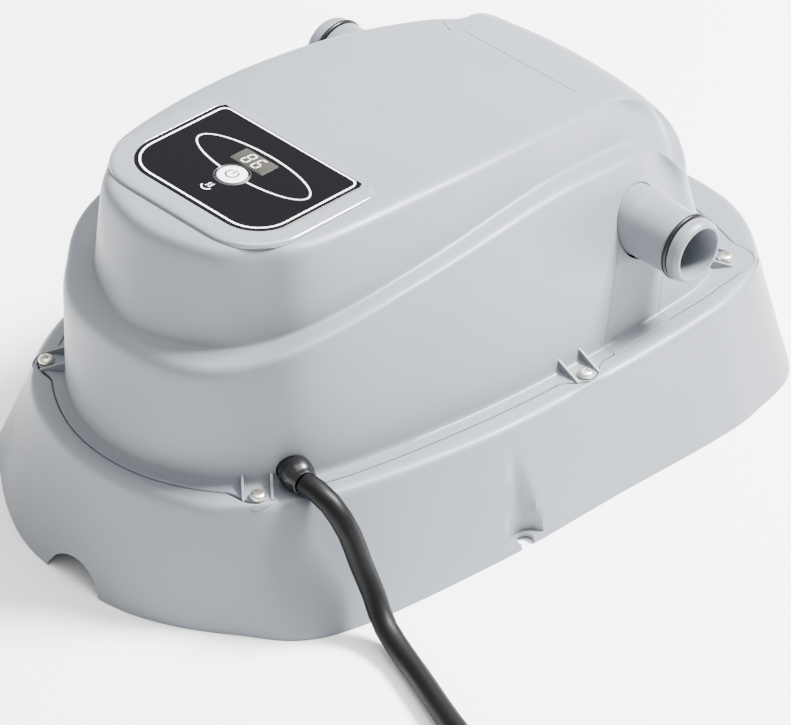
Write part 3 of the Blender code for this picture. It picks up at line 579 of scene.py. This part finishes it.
def upper_columns():
    """Profiles of the upper housing's skin, from its flange to its roof edge."""
    seam = swell_at_screws(offset(ring(SEAM_RAIL), -FLANGE_SPREAD))
    wall, shoulder, crease, crown = (ring(rail) for rail in (WALL_RAIL, SHOULDER_RAIL, CREASE_RAIL,
                                                             CROWN_RAIL))
    roof = ring([(x, y, roof_z(y)) for x, y in ROOF_RAIL])
    columns = []
    for here in range(len(seam)):
        out = outwards(wall, here)
        foot = wall[here]
        lip = seam[here] - (seam[here] - foot).normalized() * 0.5
        column = [Vector((*seam[here].xy, 59.6)), Vector((*seam[here].xy, SEAM_Z - 0.5)),
                  Vector((*lip.xy, SEAM_Z))]
        flange_end = foot + out * 1.6
        flange_end.z = SEAM_Z
        column += straight(column[-1], flange_end, 3)
        rise = (shoulder[here] - foot).normalized()
        column += bezier([flange_end, Vector((*foot.xy, SEAM_Z)), foot + rise * 3.0], 4)
        column += straight(foot + rise * 3.0, shoulder[here], 8)
        step = crease[here] - shoulder[here]
        across = Vector((step.x, step.y, 0))
        inward = across.normalized()
        terrace_end = crease[here] - inward * 2.2 - Vector((0, 0, 0.25))
        column += bezier([shoulder[here], shoulder[here] + rise * step.z * 0.80,
                          terrace_end - inward * across.length * 0.72 - Vector((0, 0, 0.6)), terrace_end], 9)
        climb = (crown[here] - crease[here]).normalized()
        column += bezier([terrace_end, crease[here], crease[here] + climb * 2.6], 4)
        column += straight(crease[here] + climb * 2.6, crown[here], 5)
        top = roof[here] - crown[here]
        over = Vector((top.x, top.y, 0))
        inward = over.normalized()
        lean = Vector((inward.x, inward.y, roof_slope(roof[here].y) * inward.y))
        column += bezier([crown[here], crown[here] + climb * top.z * 0.72,
                          roof[here] - lean * over.length * 0.72, roof[here]], 9)
        columns.append(column)
    return columns


def loft(columns, roof_cells=0, closed=True):
    """Faces between neighbouring profiles; roof_cells closes the top across the middle plane."""
    shape = bmesh.new()
    grid = [[shape.verts.new(mm(*point)) for point in column] for column in columns]
    count = len(grid)
    for here in range(count if closed else count - 1):
        after = (here + 1) % count
        for level in range(len(grid[here]) - 1):
            shape.faces.new([grid[here][level], grid[after][level], grid[after][level + 1],
                             grid[here][level + 1]])
    if roof_cells:
        half = count // 2
        rows = []
        for here in range(1, half):
            right, left = grid[here][-1], grid[count - here][-1]
            inner = [shape.verts.new(right.co.lerp(left.co, cell / roof_cells))
                     for cell in range(1, roof_cells)]
            rows.append([right] + inner + [left])
        for lower, upper in zip(rows, rows[1:]):
            for cell in range(roof_cells):
                shape.faces.new([lower[cell], upper[cell], upper[cell + 1], lower[cell + 1]])
        for end, row, flip in ((grid[0][-1], rows[0], False), (grid[half][-1], rows[-1], True)):
            for cell in range(roof_cells):
                corners = [end, row[cell], row[cell + 1]]
                shape.faces.new(reversed(corners) if flip else corners)
    return from_bmesh(shape)


def upper_skin():
    thing = loft(upper_columns(), 16)
    apply_modifier(thing, "SOLIDIFY", thickness=WALL * MM, offset=-1.0)
    return thing


def saddle_prism(side, grow, high):
    front, back = SADDLE_FOOT
    low = SEAM_Z - 8.0
    lean_low = SADDLE_LEAN * (low - SEAM_Z)
    lean_high = SADDLE_LEAN * (high - SEAM_Z)
    corners = [(front + lean_low - grow, low), (back + lean_low + grow, low),
               (back + lean_high + grow, high), (front + lean_high - grow, high)]
    return solid_from_rows([[mm(x, y, z) for y, z in corners] for x in (70.0 * side, 135.0 * side)])


def tail_hole(side):
    return bar(TAIL_HOLE_R, (62.0 * side, PIPE_Y, PIPE_Z), (132.0 * side, PIPE_Y, PIPE_Z), 72)


def screw_ribs():
    """Two thin gussets beside each screw, from the wall down to the flange's edge."""
    seam = ring(SEAM_RAIL)
    wall = ring(WALL_RAIL)
    made = []
    for spot in SCREW_SPOTS:
        nearest = nearest_place(seam, spot)
        out = outwards(seam, nearest)
        along = Vector((-out.y, out.x, 0))
        inner = (wall[nearest].xy - spot.xy).length
        for side in (-1, 1):
            centre = Vector((spot.x, spot.y, SEAM_Z)) + along * 6.6 * side
            deselect()
            bpy.ops.mesh.primitive_cube_add(size=1.0)
            rib = bpy.context.object
            bpy.ops.object.mode_set(mode="EDIT")
            shape = bmesh.from_edit_mesh(rib.data)
            for corner in shape.verts:
                reach = 2.4 if corner.co.x > 0 else -inner - 2.4
                high = (0.25 if corner.co.x > 0 else 6.2) if corner.co.z > 0 else -0.8
                place = centre + out * reach + along * corner.co.y * 1.2
                corner.co = mm(place.x, place.y, SEAM_Z + high)
            bmesh.ops.recalc_face_normals(shape, faces=shape.faces)
            bmesh.update_edit_mesh(rib.data)
            bpy.ops.object.mode_set(mode="OBJECT")
            made.append(settle(rib))
    return made


def roof_groove(start, end):
    """A fine mould line let into the roof, as a thin cutter that follows its fall."""
    first, last = Vector((*start, 0)), Vector((*end, 0))
    along = (last - first).normalized()
    aside = Vector((-along.y, along.x, 0)) * 0.28
    rows = []
    for step in range(9):
        point = first.lerp(last, step / 8)
        surface = roof_z(point.y)
        corners = [(point - aside, -0.22), (point + aside, -0.22), (point + aside, 1.5), (point - aside, 1.5)]
        rows.append([mm(corner.x, corner.y, surface + rise) for corner, rise in corners])
    return solid_from_rows(rows)


def gate_mark():
    """The shallow round gate mark in the middle of the roof."""
    y = -41.0
    return lathe([(0, -0.5), (1.6, -0.42), (2.6, -0.1), (3.0, 1.4), (0, 1.4)],
                 aim((0, y, roof_z(y)), (0, 0, 1)), 32)


def make_upper_housing():
    thing = upper_skin()
    carve(thing, screw_ribs(), "UNION")
    cutters = [saddle_prism(1, 0.28, PIPE_Z), saddle_prism(-1, 0.28, PIPE_Z)]
    carve(thing, cutters, folded=True)
    carve(thing, [tail_hole(1), tail_hole(-1)])
    gland = Vector(GLAND_AT)
    holes = [bar(1.9, (spot.x, spot.y, 50), (spot.x, spot.y, 66), 20) for spot in SCREW_SPOTS]
    holes.append(bar(GLAND_HOLE_R, gland - GLAND_DIR * 14, gland + GLAND_DIR * 16, 40))
    well = rounded(50.0, -33.0, 28.0, 14.0, 14.0)
    holes.append(stacked([(well, -12.0), (well, 6.0)], console_frame()))
    carve(thing, holes)
    carve(thing, [gate_mark(), roof_groove((-38, 56.5), (38, 56.5)),
                  roof_groove((-64 * 0.85, 57), (-40, 50))])
    return wear(thing, "upper_housing_shell", HOUSING_GREY, "housing_grey", "upper_housing", angle=32)


def make_saddle(side, name):
    near = [column[:19] for column in upper_columns()
            if column[0].x * side > 0 and -14.0 < column[0].y < 98.0]
    for column in near:
        for point in column[:3]:
            point.x += 0.7 * side
    thing = loft(near, closed=False)
    shape = bmesh.new()
    shape.from_mesh(thing.data)
    shape.normal_update()
    if sum(face.normal.x for face in shape.faces) * side < 0:
        bmesh.ops.reverse_faces(shape, faces=shape.faces)
    shape.to_mesh(thing.data)
    shape.free()
    apply_modifier(thing, "SOLIDIFY", thickness=WALL * MM, offset=-1.0)
    carve(thing, [saddle_prism(side, 0.0, PIPE_Z - 0.3)], "INTERSECT", folded=True)
    carve(thing, [tail_hole(side)])
    return wear(thing, name, HOUSING_GREY, "housing_grey", angle=32)


def pocket_depth(point):
    """How far the skirt is pressed in at a point, for the tapered pocket low on each side."""
    if point.z < LIP_Z or point.z > POCKET_TOP:
        return 0.0
    share = 1.0 - point.z / POCKET_TOP
    half = 1.2 + (POCKET_HALF - 1.2) * share
    aside = abs(point.y - POCKET_Y) / half
    return POCKET_DEPTH * share * math.sqrt(max(0.0, 1.0 - aside * aside)) if aside < 1 else 0.0


def lower_columns():
    """Profiles of the skirt, from its foot over the ledge and down into the rebate."""
    around = AROUND * 2
    foot, ledge = ring(FOOT_RAIL, around), ring(LEDGE_RAIL, around)
    seam = swell_at_screws(offset(ring(SEAM_RAIL, around), -FLANGE_SPREAD - SEAM_GAP))
    inner = offset(ring(SEAM_RAIL, around), 9.0)
    heights = [0.7, LIP_Z - 0.05, LIP_Z + 0.05, 5.5, 8, 11, 14, 18, 22, 26, 30, 34, 38, 42, 46, 50, 53.5]
    columns = []
    for here in range(len(foot)):
        low, high = foot[here], ledge[here]
        column = [low - outwards(foot, here) * 0.4]
        for height in heights:
            point = low.lerp(high, height / high.z)
            column.append(point - outwards(foot, here) * pocket_depth(point))
        corner = low.lerp(high, (SEAM_Z - 0.1) / high.z)
        edge = Vector((*seam[here].xy, SEAM_Z - 0.25))
        apart = edge - corner
        ledge_start = corner + apart * min(0.62, 5.5 / apart.length)
        column.append(high.copy())
        column += bezier([high, corner, ledge_start], 8)
        column += straight(ledge_start, edge - apart.normalized() * 0.5, 2)
        edge_low = edge - Vector((0, 0, 0.5))
        column += [edge_low, Vector((*seam[here].xy, REBATE_Z)), Vector((*inner[here].xy, REBATE_Z))]
        columns.append(column)
    return columns


def make_lower_housing():
    thing = loft(lower_columns())
    apply_modifier(thing, "SOLIDIFY", thickness=WALL * MM, offset=-1.0)
    cutters = [bar(19.0, (0, -252, -6.0), (0, -216, -6.0), 64)]
    for side in (1, -1):
        cutters.append(bar(4.3, (128.6 * side, POCKET_Y, -4), (128.6 * side, POCKET_Y, LIP_Z + 1.5), 32))
    gland = Vector(GLAND_AT)
    cutters.append(bar(GLAND_HOLE_R + 0.1, gland - GLAND_DIR * 14, gland + GLAND_DIR * 16, 40))
    for cutter in cutters:
        carve(thing, [cutter])
    return wear(thing, "lower_housing_shell", HOUSING_GREY, "housing_grey", "lower_housing", angle=32)


# ---- console
def strip(outer, inner, low, high, place):
    """A flat printed line between two outlines."""
    return stacked([(outer, low), (outer, high), (inner, high), (inner, low)], place, ring_shape=True)


def ellipse(cx, cy, wide, high, steps=96):
    made = []
    for step in range(steps):
        angle = 2 * math.pi * step / steps
        made.append((cx + wide * math.cos(angle), cy + high * math.sin(angle)))
    return made


def stroke(points, width, low, high, place):
    """A printed stroke of even width along a flat line of points, with rounded ends."""
    line = [Vector(point) for point in points]
    left, right = [], []
    for here, point in enumerate(line):
        along = (line[min(here + 1, len(line) - 1)] - line[max(here - 1, 0)]).normalized()
        aside = Vector((-along.y, along.x)) * width / 2
        left.append(point + aside)
        right.append(point - aside)
    start = (line[0] - line[1]).normalized()
    finish = (line[-1] - line[-2]).normalized()
    cap_start = [line[0] + turn_flat(start, angle) * width / 2 for angle in (-60, -30, 0, 30, 60)]
    cap_finish = [line[-1] + turn_flat(finish, angle) * width / 2 for angle in (-60, -30, 0, 30, 60)]
    outline = [tuple(p) for p in cap_start + list(right) + cap_finish + list(reversed(left))]
    return stacked([(outline, low), (outline, high)], place)


def turn_flat(direction, degrees):
    angle = math.radians(degrees)
    return Vector((direction.x * math.cos(angle) - direction.y * math.sin(angle),
                   direction.x * math.sin(angle) + direction.y * math.cos(angle)))


EIGHT = ("top", "middle", "bottom", "upper_left", "upper_right", "lower_left", "lower_right")


def segment(cx, cy, long, wide, upright):
    """One shown bar of a seven-bar digit, with pointed ends; its material paints a glow on it."""
    a, b = long / 2, wide / 2
    outline = [(-a, 0), (-a + b, -b), (a - b, -b), (a, 0), (a - b, b), (-a + b, b)]
    if upright:
        outline = [(-y, x) for x, y in outline]
    slant = 0.09
    return [(cx + x + slant * (cy + y - 10.5), cy + y) for x, y in outline]


def digit(cx, cy, shown_bars):
    half_wide, half_high, long, wide = 1.7, 1.85, 3.1, 0.62
    bars = {"top": (0, 2 * half_high, False), "middle": (0, 0, False), "bottom": (0, -2 * half_high, False),
            "upper_left": (-half_wide, half_high, True), "upper_right": (half_wide, half_high, True),
            "lower_left": (-half_wide, -half_high, True), "lower_right": (half_wide, -half_high, True)}
    return [segment(cx + bars[name][0], cy + bars[name][1], long, wide, bars[name][2]) for name in shown_bars]


def make_bezel():
    place = console_frame()
    top = 0.5
    loops = [(rounded(*grown(BEZEL, -3)), -2.2), (rounded(*grown(BEZEL, 0.0)), -2.2), (rounded(*BEZEL), -0.9)]
    for step in range(1, 7):
        angle = math.pi / 2 * step / 6
        loops.append((rounded(*grown(BEZEL, -3.4 * (1 - math.cos(angle)))), -0.9 + 1.4 * math.sin(angle)))
    loops.append((rounded(*grown(LABEL, 3.2)), top))
    loops.append((rounded(*grown(LABEL, 1.3)), top - 0.05))
    loops.append((rounded(*grown(LABEL, 0.55)), 0.3))
    loops.append((rounded(*grown(LABEL, 0.3)), 0.1))
    loops.append((rounded(*grown(LABEL, 0.3)), -0.7))
    loops.append((rounded(*grown(LABEL, -6.0)), -0.7))
    loops.append((rounded(*grown(LABEL, -6.0)), -2.2))
    thing = stacked(loops, place, ring_shape=True)
    return wear(thing, "console_bezel_ring", BEZEL_GREY, "bezel_grey", "console_bezel", angle=40)


def make_label():
    place = console_frame()
    label = stacked([(rounded(*grown(LABEL, -0.2)), -0.5), (rounded(*LABEL), -0.35), (rounded(*LABEL), 0.0),
                     (rounded(*grown(LABEL, -0.15)), 0.1)], place)
    spot = console_frame() @ Matrix.Translation(Vector((0, BUTTON_Y, 0)) * MM)
    holes = [lathe([(0, -4), (8.2, -4), (8.2, 4), (0, 4)], spot, 72)]
    window = window_outline(0.2)
    holes.append(stacked([(window, -4), (window, 4)], place))
    carve(label, holes)
    wear(label, "console_label_film", LABEL_BLACK, "label_black", "console_label", angle=30)
    line = strip(rounded(*grown(LABEL, -2.0)), rounded(*grown(LABEL, -3.0)), 0.06, 0.14, place)
    wear(line, "label_border_line", PRINT_WHITE, "label_black")
    band = strip(ellipse(1.5, 6.7, 36.0, 11.9), ellipse(1.5, 6.7, 35.05, 10.9), 0.06, 0.14, place)
    gap = lathe([(0, -4), (8.7, -4), (8.7, 4), (0, 4)], spot, 48)
    carve(band, [gap])
    wear(band, "label_oval_line", PRINT_SILVER, "label_black")
    collar = lathe([(8.2, -0.3), (8.75, -0.3), (8.75, 0.2), (8.55, 0.32), (8.35, 0.32), (8.2, 0.2),
                    (8.2, -0.3)],
                   spot, 72)
    wear(collar, "button_collar", INK_DARK, "label_black")
    cup = stroke(arc(-1.2, -19.4, 2.7, 195, 150, 12), 0.7, 0.06, 0.14, place)
    left = stroke([(-2.2, -19.4), (-1.7, -18.4), (-2.1, -17.4), (-1.6, -16.4)], 0.6, 0.06, 0.14, place)
    right = stroke([(-0.4, -19.4), (0.1, -18.4), (-0.3, -17.4), (0.2, -16.4)], 0.6, 0.06, 0.14, place)
    wear(join([cup, left, right]), "heat_symbol", PRINT_WHITE, "label_black")


def window_outline(grow):
    low, high = (place_in_console(corner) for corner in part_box("display_window"))
    left, right = low.x - grow, high.x - 2.5 + grow
    front, back = low.y - grow, high.y + grow
    return (arc(right - 0.6, back - 0.6, 0.6, 0, steps=4) + arc(left + 0.6, back - 0.6, 0.6, 90, steps=4)
            + arc(left + 0.6, front + 0.6, 0.6, 180, steps=4)
            + arc(right - 0.6, front + 0.6, 0.6, 270, steps=4))


def place_in_console(corner):
    return (console_frame().inverted() @ corner) / MM


def make_window():
    place = console_frame()
    lens = stacked([(window_outline(0.0), -2.4), (window_outline(0.0), -0.1),
                    (window_outline(-0.2), 0.05)], place)
    wear(lens, "display_lens", WINDOW_SMOKE, "window_smoked", "display_window")
    low, high = (place_in_console(corner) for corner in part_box("display_window"))
    middle = (low + high) / 2
    bars = digit(middle.x - 4.6, middle.y, EIGHT)
    bars += digit(middle.x + 1.8, middle.y, [name for name in EIGHT if name != "upper_right"])
    # the digits wear a painted glow
    digits = join([stacked([(outline, 0.03), (outline, 0.11)], place) for outline in bars])
    wear(digits, "display_digits", DIGIT_PAINTED_GLOW, "window_smoked")


def make_button():
    spot = console_frame() @ Matrix.Translation(Vector((0, BUTTON_Y, 0)) * MM)
    profile = [(0, -8.3), (3.0, -8.3), (3.0, -5.6), (9.4, -5.6), (9.6, -5.4), (9.6, -4.5), (9.4, -4.3),
               (7.75, -4.3),
               (7.75, 0.0), (7.6, 0.2), (7.25, 0.25), (7.15, 0.1), (7.05, 0.3), (6.9, 0.5), (6.2, 0.62),
               (4.0, 0.68),
               (0, 0.7)]
    cap = lathe(profile, spot, 96)
    wear(cap, "power_button_cap", BUTTON_SILVER, "button_silver", "power_button", body="power_button",
         angle=30)
    ring_mark = lathe([(7.0, 0.15), (7.72, 0.0), (7.74, 0.12), (7.62, 0.32), (7.1, 0.32), (7.0, 0.15)],
                      spot, 96)
    wear(ring_mark, "power_button_rim", INK_DARK, "label_black", body="power_button")
    bow = stroke(arc(0, 0, 3.0, 128, 284, 28), 0.85, 0.6, 0.76, spot)
    upright = stroke([(0, 0.4), (0, 1.8), (0, 3.5)], 0.85, 0.6, 0.76, spot)
    wear(join([bow, upright]), "power_symbol", INK_DARK, "label_black", body="power_button")


# ---- hose tails, gland and screws
def make_hose_tail(side, word):
    place = aim((0, PIPE_Y, PIPE_Z), (side, 0, 0))
    bore = 12.7
    profile = [(bore, 62.1), (24.0, 62.1), (24.0, 65.6), (18.0, 65.6), (16.6, 67.0), (16.6, 86.5),
               (16.45, 90.5),
               (16.2, 92.0), (15.95, 93.0), (15.85, 104.0), (15.8, 115.2), (15.6, 115.45), (14.2, 115.5),
               (14.2, 118.5), (15.6, 118.55), (15.8, 118.8), (15.85, TIP_X - 3.0), (15.7, TIP_X - 2.2),
               (14.9, TIP_X - 0.9), (14.5, TIP_X - 0.3), (14.0, TIP_X), (13.4, TIP_X), (12.95, TIP_X - 0.25),
               (bore, TIP_X - 0.9), (bore, 110.0), (bore, 90.0), (bore, 62.1)]
    tail = lathe(profile, place, 96)
    wear(tail, f"hose_tail_barrel_{word}", TAIL_GREY, "housing_grey", f"hose_tail_{word}", angle=30)
    round_section = [(15.7 + 1.2 * math.cos(2 * math.pi * step / 14),
                      117.0 + 1.2 * math.sin(2 * math.pi * step / 14))
                     for step in range(15)]
    seal = lathe(round_section, place, 96)
    wear(seal, f"o_ring_seal_{word}", SEAL_BLACK, "black_rubber", f"o_ring_{word}", angle=60)


def make_gland():
    profile = [(5.75, -12.5), (7.5, -12.5), (7.7, -12.2), (7.7, -9.3), (7.5, -9.0), (6.9, -9.0), (6.9, 0.6),
               (7.6, 0.7), (8.1, 1.2), (8.25, 2.2), (8.2, 4.4), (7.9, 6.4), (7.2, 8.2), (6.6, 9.0),
               (6.4, 9.6),
               (6.35, 11.2), (6.1, 11.9), (5.75, 12.0), (5.6, 11.0), (5.6, 0.0), (5.75, -12.5)]
    gland = lathe(profile, aim(GLAND_AT, GLAND_DIR), 64)
    wear(gland, "cable_gland_boot", GLAND_BLACK, "black_rubber", "cable_gland", angle=40)


def make_screw(index):
    """A pan-head screw with a cross recess."""
    spot, low, high = screw_spot(index)
    top = high - low
    profile = [(0, 0), (1.0, 0), (1.75, 1.6), (1.75, top - 2.7), (3.6, top - 2.7), (3.8, top - 2.5),
               (3.85, top - 1.8),
               (3.5, top - 0.9), (2.7, top - 0.25), (1.6, top), (0, top + 0.02)]
    place = Matrix.Translation(mm(spot.x, spot.y, low)) @ Matrix.Rotation(math.radians(37.0 * index), 4, "Z")
    screw = lathe(profile, place, 40)
    slots = []
    for turn in (0, 90):
        deselect()
        bpy.ops.mesh.primitive_cube_add(size=1.0)
        slot = bpy.context.object
        slot.scale = (4.0 * MM, 0.8 * MM, 2.2 * MM)
        slot.location = (0, 0, (top - 0.1) * MM)
        slot.rotation_euler = (0, 0, math.radians(turn))
        slots.append(settle(slot, place))
    for slot in slots:
        carve(screw, [slot])
    wear(screw, f"pan_head_screw_{index}", ZINC, "steel", f"housing_screw_{index}", angle=30)


# ---- mains lead
def smooth_route(points, spacing):
    route = [Vector(point) for point in points]
    route = [route[0] * 2 - route[1]] + route + [route[-1] * 2 - route[-2]]
    dense = []
    for here in range(1, len(route) - 2):
        for step in range(40):
            dense.append(catmull(route[here - 1:here + 3], step / 40))
    dense.append(route[-2])
    kept = [dense[0]]
    for point in dense[1:]:
        if (point - kept[-1]).length >= spacing:
            kept.append(point)
    return kept


def ease(t):
    t = min(max(t, 0.0), 1.0)
    return t * t * (3 - 2 * t)


def coil_point(swept):
    """A point on the coil after so many degrees, clockwise from where the lead meets it."""
    outer, middle = COIL_RADII[:2]
    low, high = COIL_LAYERS
    pitch = outer - middle
    inwards = sum(ease((swept - start) / STEP_TURN) for start in (300, 660))
    outwards_again = sum(ease((swept - start) / STEP_TURN) for start in (1380, 1740))
    radius = outer - pitch * (inwards - outwards_again)
    height = low + (high - low) * ease((swept - 960) / STEP_TURN) + TOP_RISE * ease((swept - 2065) / 65)
    radius -= 10.5 * ease((swept - 2125) / 50)
    angle = math.radians(COIL_START - swept)
    x, y = COIL_AT
    return Vector((x + radius * math.cos(angle), y + radius * math.sin(angle), height))


def coil_spot(angle, radius, height):
    x, y = COIL_AT
    turn = math.radians(angle)
    return Vector((x + radius * math.cos(turn), y + radius * math.sin(turn), height))


def make_cord(plug_pieces):
    start = Vector(GLAND_AT) + GLAND_DIR * LEAD_START
    lead_in = Vector(GLAND_AT) + GLAND_DIR * 17.0
    free = smooth_route([start, lead_in] + CORD_ROUTE + [coil_point(6.0)], 8.0)
    points = free[:-1] + [coil_point(swept) for swept in range(6, COIL_END + 1, 9)]
    heart, facing = plug_seat()
    rear = heart - facing * PLUG_REAR
    tail = smooth_route([coil_point(COIL_END), coil_spot(45.0, 61.0, 28.4), coil_spot(24.0, 63.5, 29.0),
                         coil_spot(6.0, 66.5, 36.0), rear - facing * 12.0, rear], 7.0)
    points += tail
    if (points[-1] - rear).length > 0.5:
        points.append(rear)
    curve = bpy.data.curves.new("mains_lead", "CURVE")
    curve.dimensions = "3D"
    curve.bevel_depth = CORD_R * MM
    curve.bevel_resolution = 6
    curve.use_fill_caps = True
    spline = curve.splines.new("POLY")
    spline.points.add(len(points) - 1)
    for place, point in zip(spline.points, points):
        place.co = (*mm(*point), 1.0)
    lead = bpy.data.objects.new("mains_lead", curve)
    bpy.context.scene.collection.objects.link(lead)
    spline.use_smooth = True
    wear(lead, "mains_lead", RUBBER_BLACK, "black_rubber", "mains_cord", "cord_coil", "cord_tail")


def plug_seat():
    heart = coil_spot(PLUG_ANGLE, 60.5, 22.3 + PLUG_RISE)
    return heart, Vector((-1, -1, 0)).normalized()


def make_plug():
    heart, facing = plug_seat()
    body = [(0, -14.0), (17.6, -14.0), (18.2, -13.4), (18.2, -10.0), (17.6, -9.2), (17.2, -8.4), (17.2, 3.0),
            (16.6, 6.5), (14.6, 9.6), (12.2, 12.0), (9.6, 14.6), (8.4, 17.0), (8.0, 18.2), (7.0, 18.6),
            (7.0, 19.6),
            (7.8, 20.0), (7.6, 21.6), (6.8, 22.0), (6.8, 23.0), (7.4, 23.4), (7.2, 25.0), (6.6, 25.4),
            (6.6, 26.4),
            (7.0, 26.8), (6.8, 29.4), (6.2, 30.0), (0, 30.0)]
    plug = lathe(body, aim(heart, -facing), 64)
    sideways = Vector((facing.y, -facing.x, 0))
    wear(plug, "plug_body", PLASTIC_BLACK, "black_plastic", "mains_plug", angle=30)
    pins = []
    for side in (-1, 1):
        start = heart + facing * 13.5 + sideways * 9.5 * side
        pins.append(lathe([(0, 0), (2.4, 0), (2.4, 17.6), (2.0, 18.9), (1.2, 19.5), (0, 19.5)],
                          aim(start, facing), 32))
    pins = wear(join(pins), "plug_pins", STEEL, "steel")
    return [plug, pins]


def make_tie():
    """A thin strap round the coil that holds its turns together."""
    inner, outer = COIL_RADII[-1] - CORD_R - 0.1, COIL_RADII[0] + CORD_R + 0.1
    low, high = COIL_LAYERS[0] - CORD_R - 0.05, COIL_LAYERS[1] + CORD_R + 0.1
    bend = 5.0
    section = (arc(outer - bend, high - bend, bend, 0,
                   steps=6) + arc(inner + bend, high - bend, bend, 90, steps=6)
               + arc(inner + bend, low + bend, bend, 180,
                     steps=6) + arc(outer - bend, low + bend, bend, 270, steps=6))
    middle = Vector(((inner + outer) / 2, (low + high) / 2))
    thick = 0.6
    outside = []
    for x, z in section:
        away = Vector((x, z)) - middle
        outside.append((x + thick * (1 if away.x > 0 else -1), z + thick * (1 if away.y > 0 else -1)))
    shape = bmesh.new()
    rows = []
    for loop in (section, outside):
        for width in (-4.0, 4.0):
            rows.append([shape.verts.new(Vector((x, width, z)) * MM) for x, z in loop])
    for one, two in ((0, 1), (1, 3), (3, 2), (2, 0)):
        for here in range(len(section)):
            after = (here + 1) % len(section)
            shape.faces.new([rows[one][here], rows[one][after], rows[two][after], rows[two][here]])
    x, y = COIL_AT
    turn = Matrix.Rotation(math.radians(-120.0), 4, "Z")
    strap = from_bmesh(shape, Matrix.Translation(mm(x, y, 0)) @ turn)
    return wear(strap, "coil_tie", PLASTIC_BLACK, "black_plastic", angle=40)


# ---- carried-over pieces
FINISHES = {"housing_grey": HOUSING_GREY, "bezel_grey": BEZEL_GREY, "label_black": LABEL_BLACK,
            "window_smoked": WINDOW_SMOKE, "button_silver": BUTTON_SILVER, "black_plastic": PLASTIC_BLACK,
            "black_rubber": SEAL_BLACK, "silicone_red": SILICONE_RED, "steel": STEEL, "brass": BRASS,
            "board_green": BOARD_GREEN, "white_plastic": PLASTIC_WHITE}


def finish_carried_nodes():
    slots = {row["node"]: row["material_slot"] for row in frame["record"]["subparts"]}
    for name, node in frame["nodes"].items():
        for place in node.material_slots:
            place.material = FINISHES[slots[name]]


# ---- stage
def make_stage():
    deselect()
    bpy.ops.mesh.primitive_plane_add(size=14.0, location=(0, 0, 0))
    floor = bpy.context.object
    floor.name = "studio_floor"
    made, tree, shader, where = new_material("floor_pale", 0.6)
    tone = remap(tree, noise(tree, 1.2, 2.0, where), 0.3, 0.7, 0.0, 1.0)
    tree.links.new(blend_colour(tree, tone, (0.93, 0.93, 0.93), (0.90, 0.90, 0.905)),
                   shader.inputs["Base Color"])
    floor.data.materials.append(made)
    world = bpy.data.worlds.new("studio")
    world.use_nodes = True
    world.node_tree.nodes["Background"].inputs["Color"].default_value = (1.0, 1.0, 1.0, 1.0)
    world.node_tree.nodes["Background"].inputs["Strength"].default_value = 1.05
    bpy.context.scene.world = world


def make_light(name, place, target, size, power):
    data = bpy.data.lights.new(name, "AREA")
    data.shape = "RECTANGLE"
    data.size, data.size_y = size
    data.energy = power
    light = bpy.data.objects.new(name, data)
    bpy.context.scene.collection.objects.link(light)
    light.location = place
    light.rotation_euler = (Vector(target) - Vector(place)).to_track_quat("-Z", "Y").to_euler()


def make_camera():
    data = bpy.data.cameras.new("studio_camera")
    data.sensor_width = 36.0
    data.lens = 227.6
    data.clip_end = 50.0
    camera = bpy.data.objects.new("studio_camera", data)
    bpy.context.scene.collection.objects.link(camera)
    right = Vector((0.7047, 0.7095, 0.0)).normalized()
    back = Vector((0.5666, -0.5628, 0.6018)).normalized()
    up = back.cross(right)
    turn = Matrix((right, up, back)).transposed().to_4x4()
    camera.matrix_world = Matrix.Translation((1.37290, -1.34731, 1.47349)) @ turn
    bpy.context.scene.camera = camera


def build():
    make_camera()
    make_stage()
    make_light("key_light", (0.75, 1.15, 1.75), (0, 0, 0.1), (0.55, 0.55), 330.0)
    make_light("top_soft", (0.1, 0.2, 2.2), (0, 0, 0), (1.6, 1.6), 60.0)
    tie = make_tie()
    make_cord(make_plug() + [tie])
    make_gland()
    for index in range(1, 7):
        make_screw(index)
    make_hose_tail(1, "right")
    make_hose_tail(-1, "left")
    make_lower_housing()
    make_upper_housing()
    make_saddle(1, "saddle_right")
    make_saddle(-1, "saddle_left")
    make_bezel()
    make_label()
    make_window()
    make_button()
    finish_carried_nodes()


build()
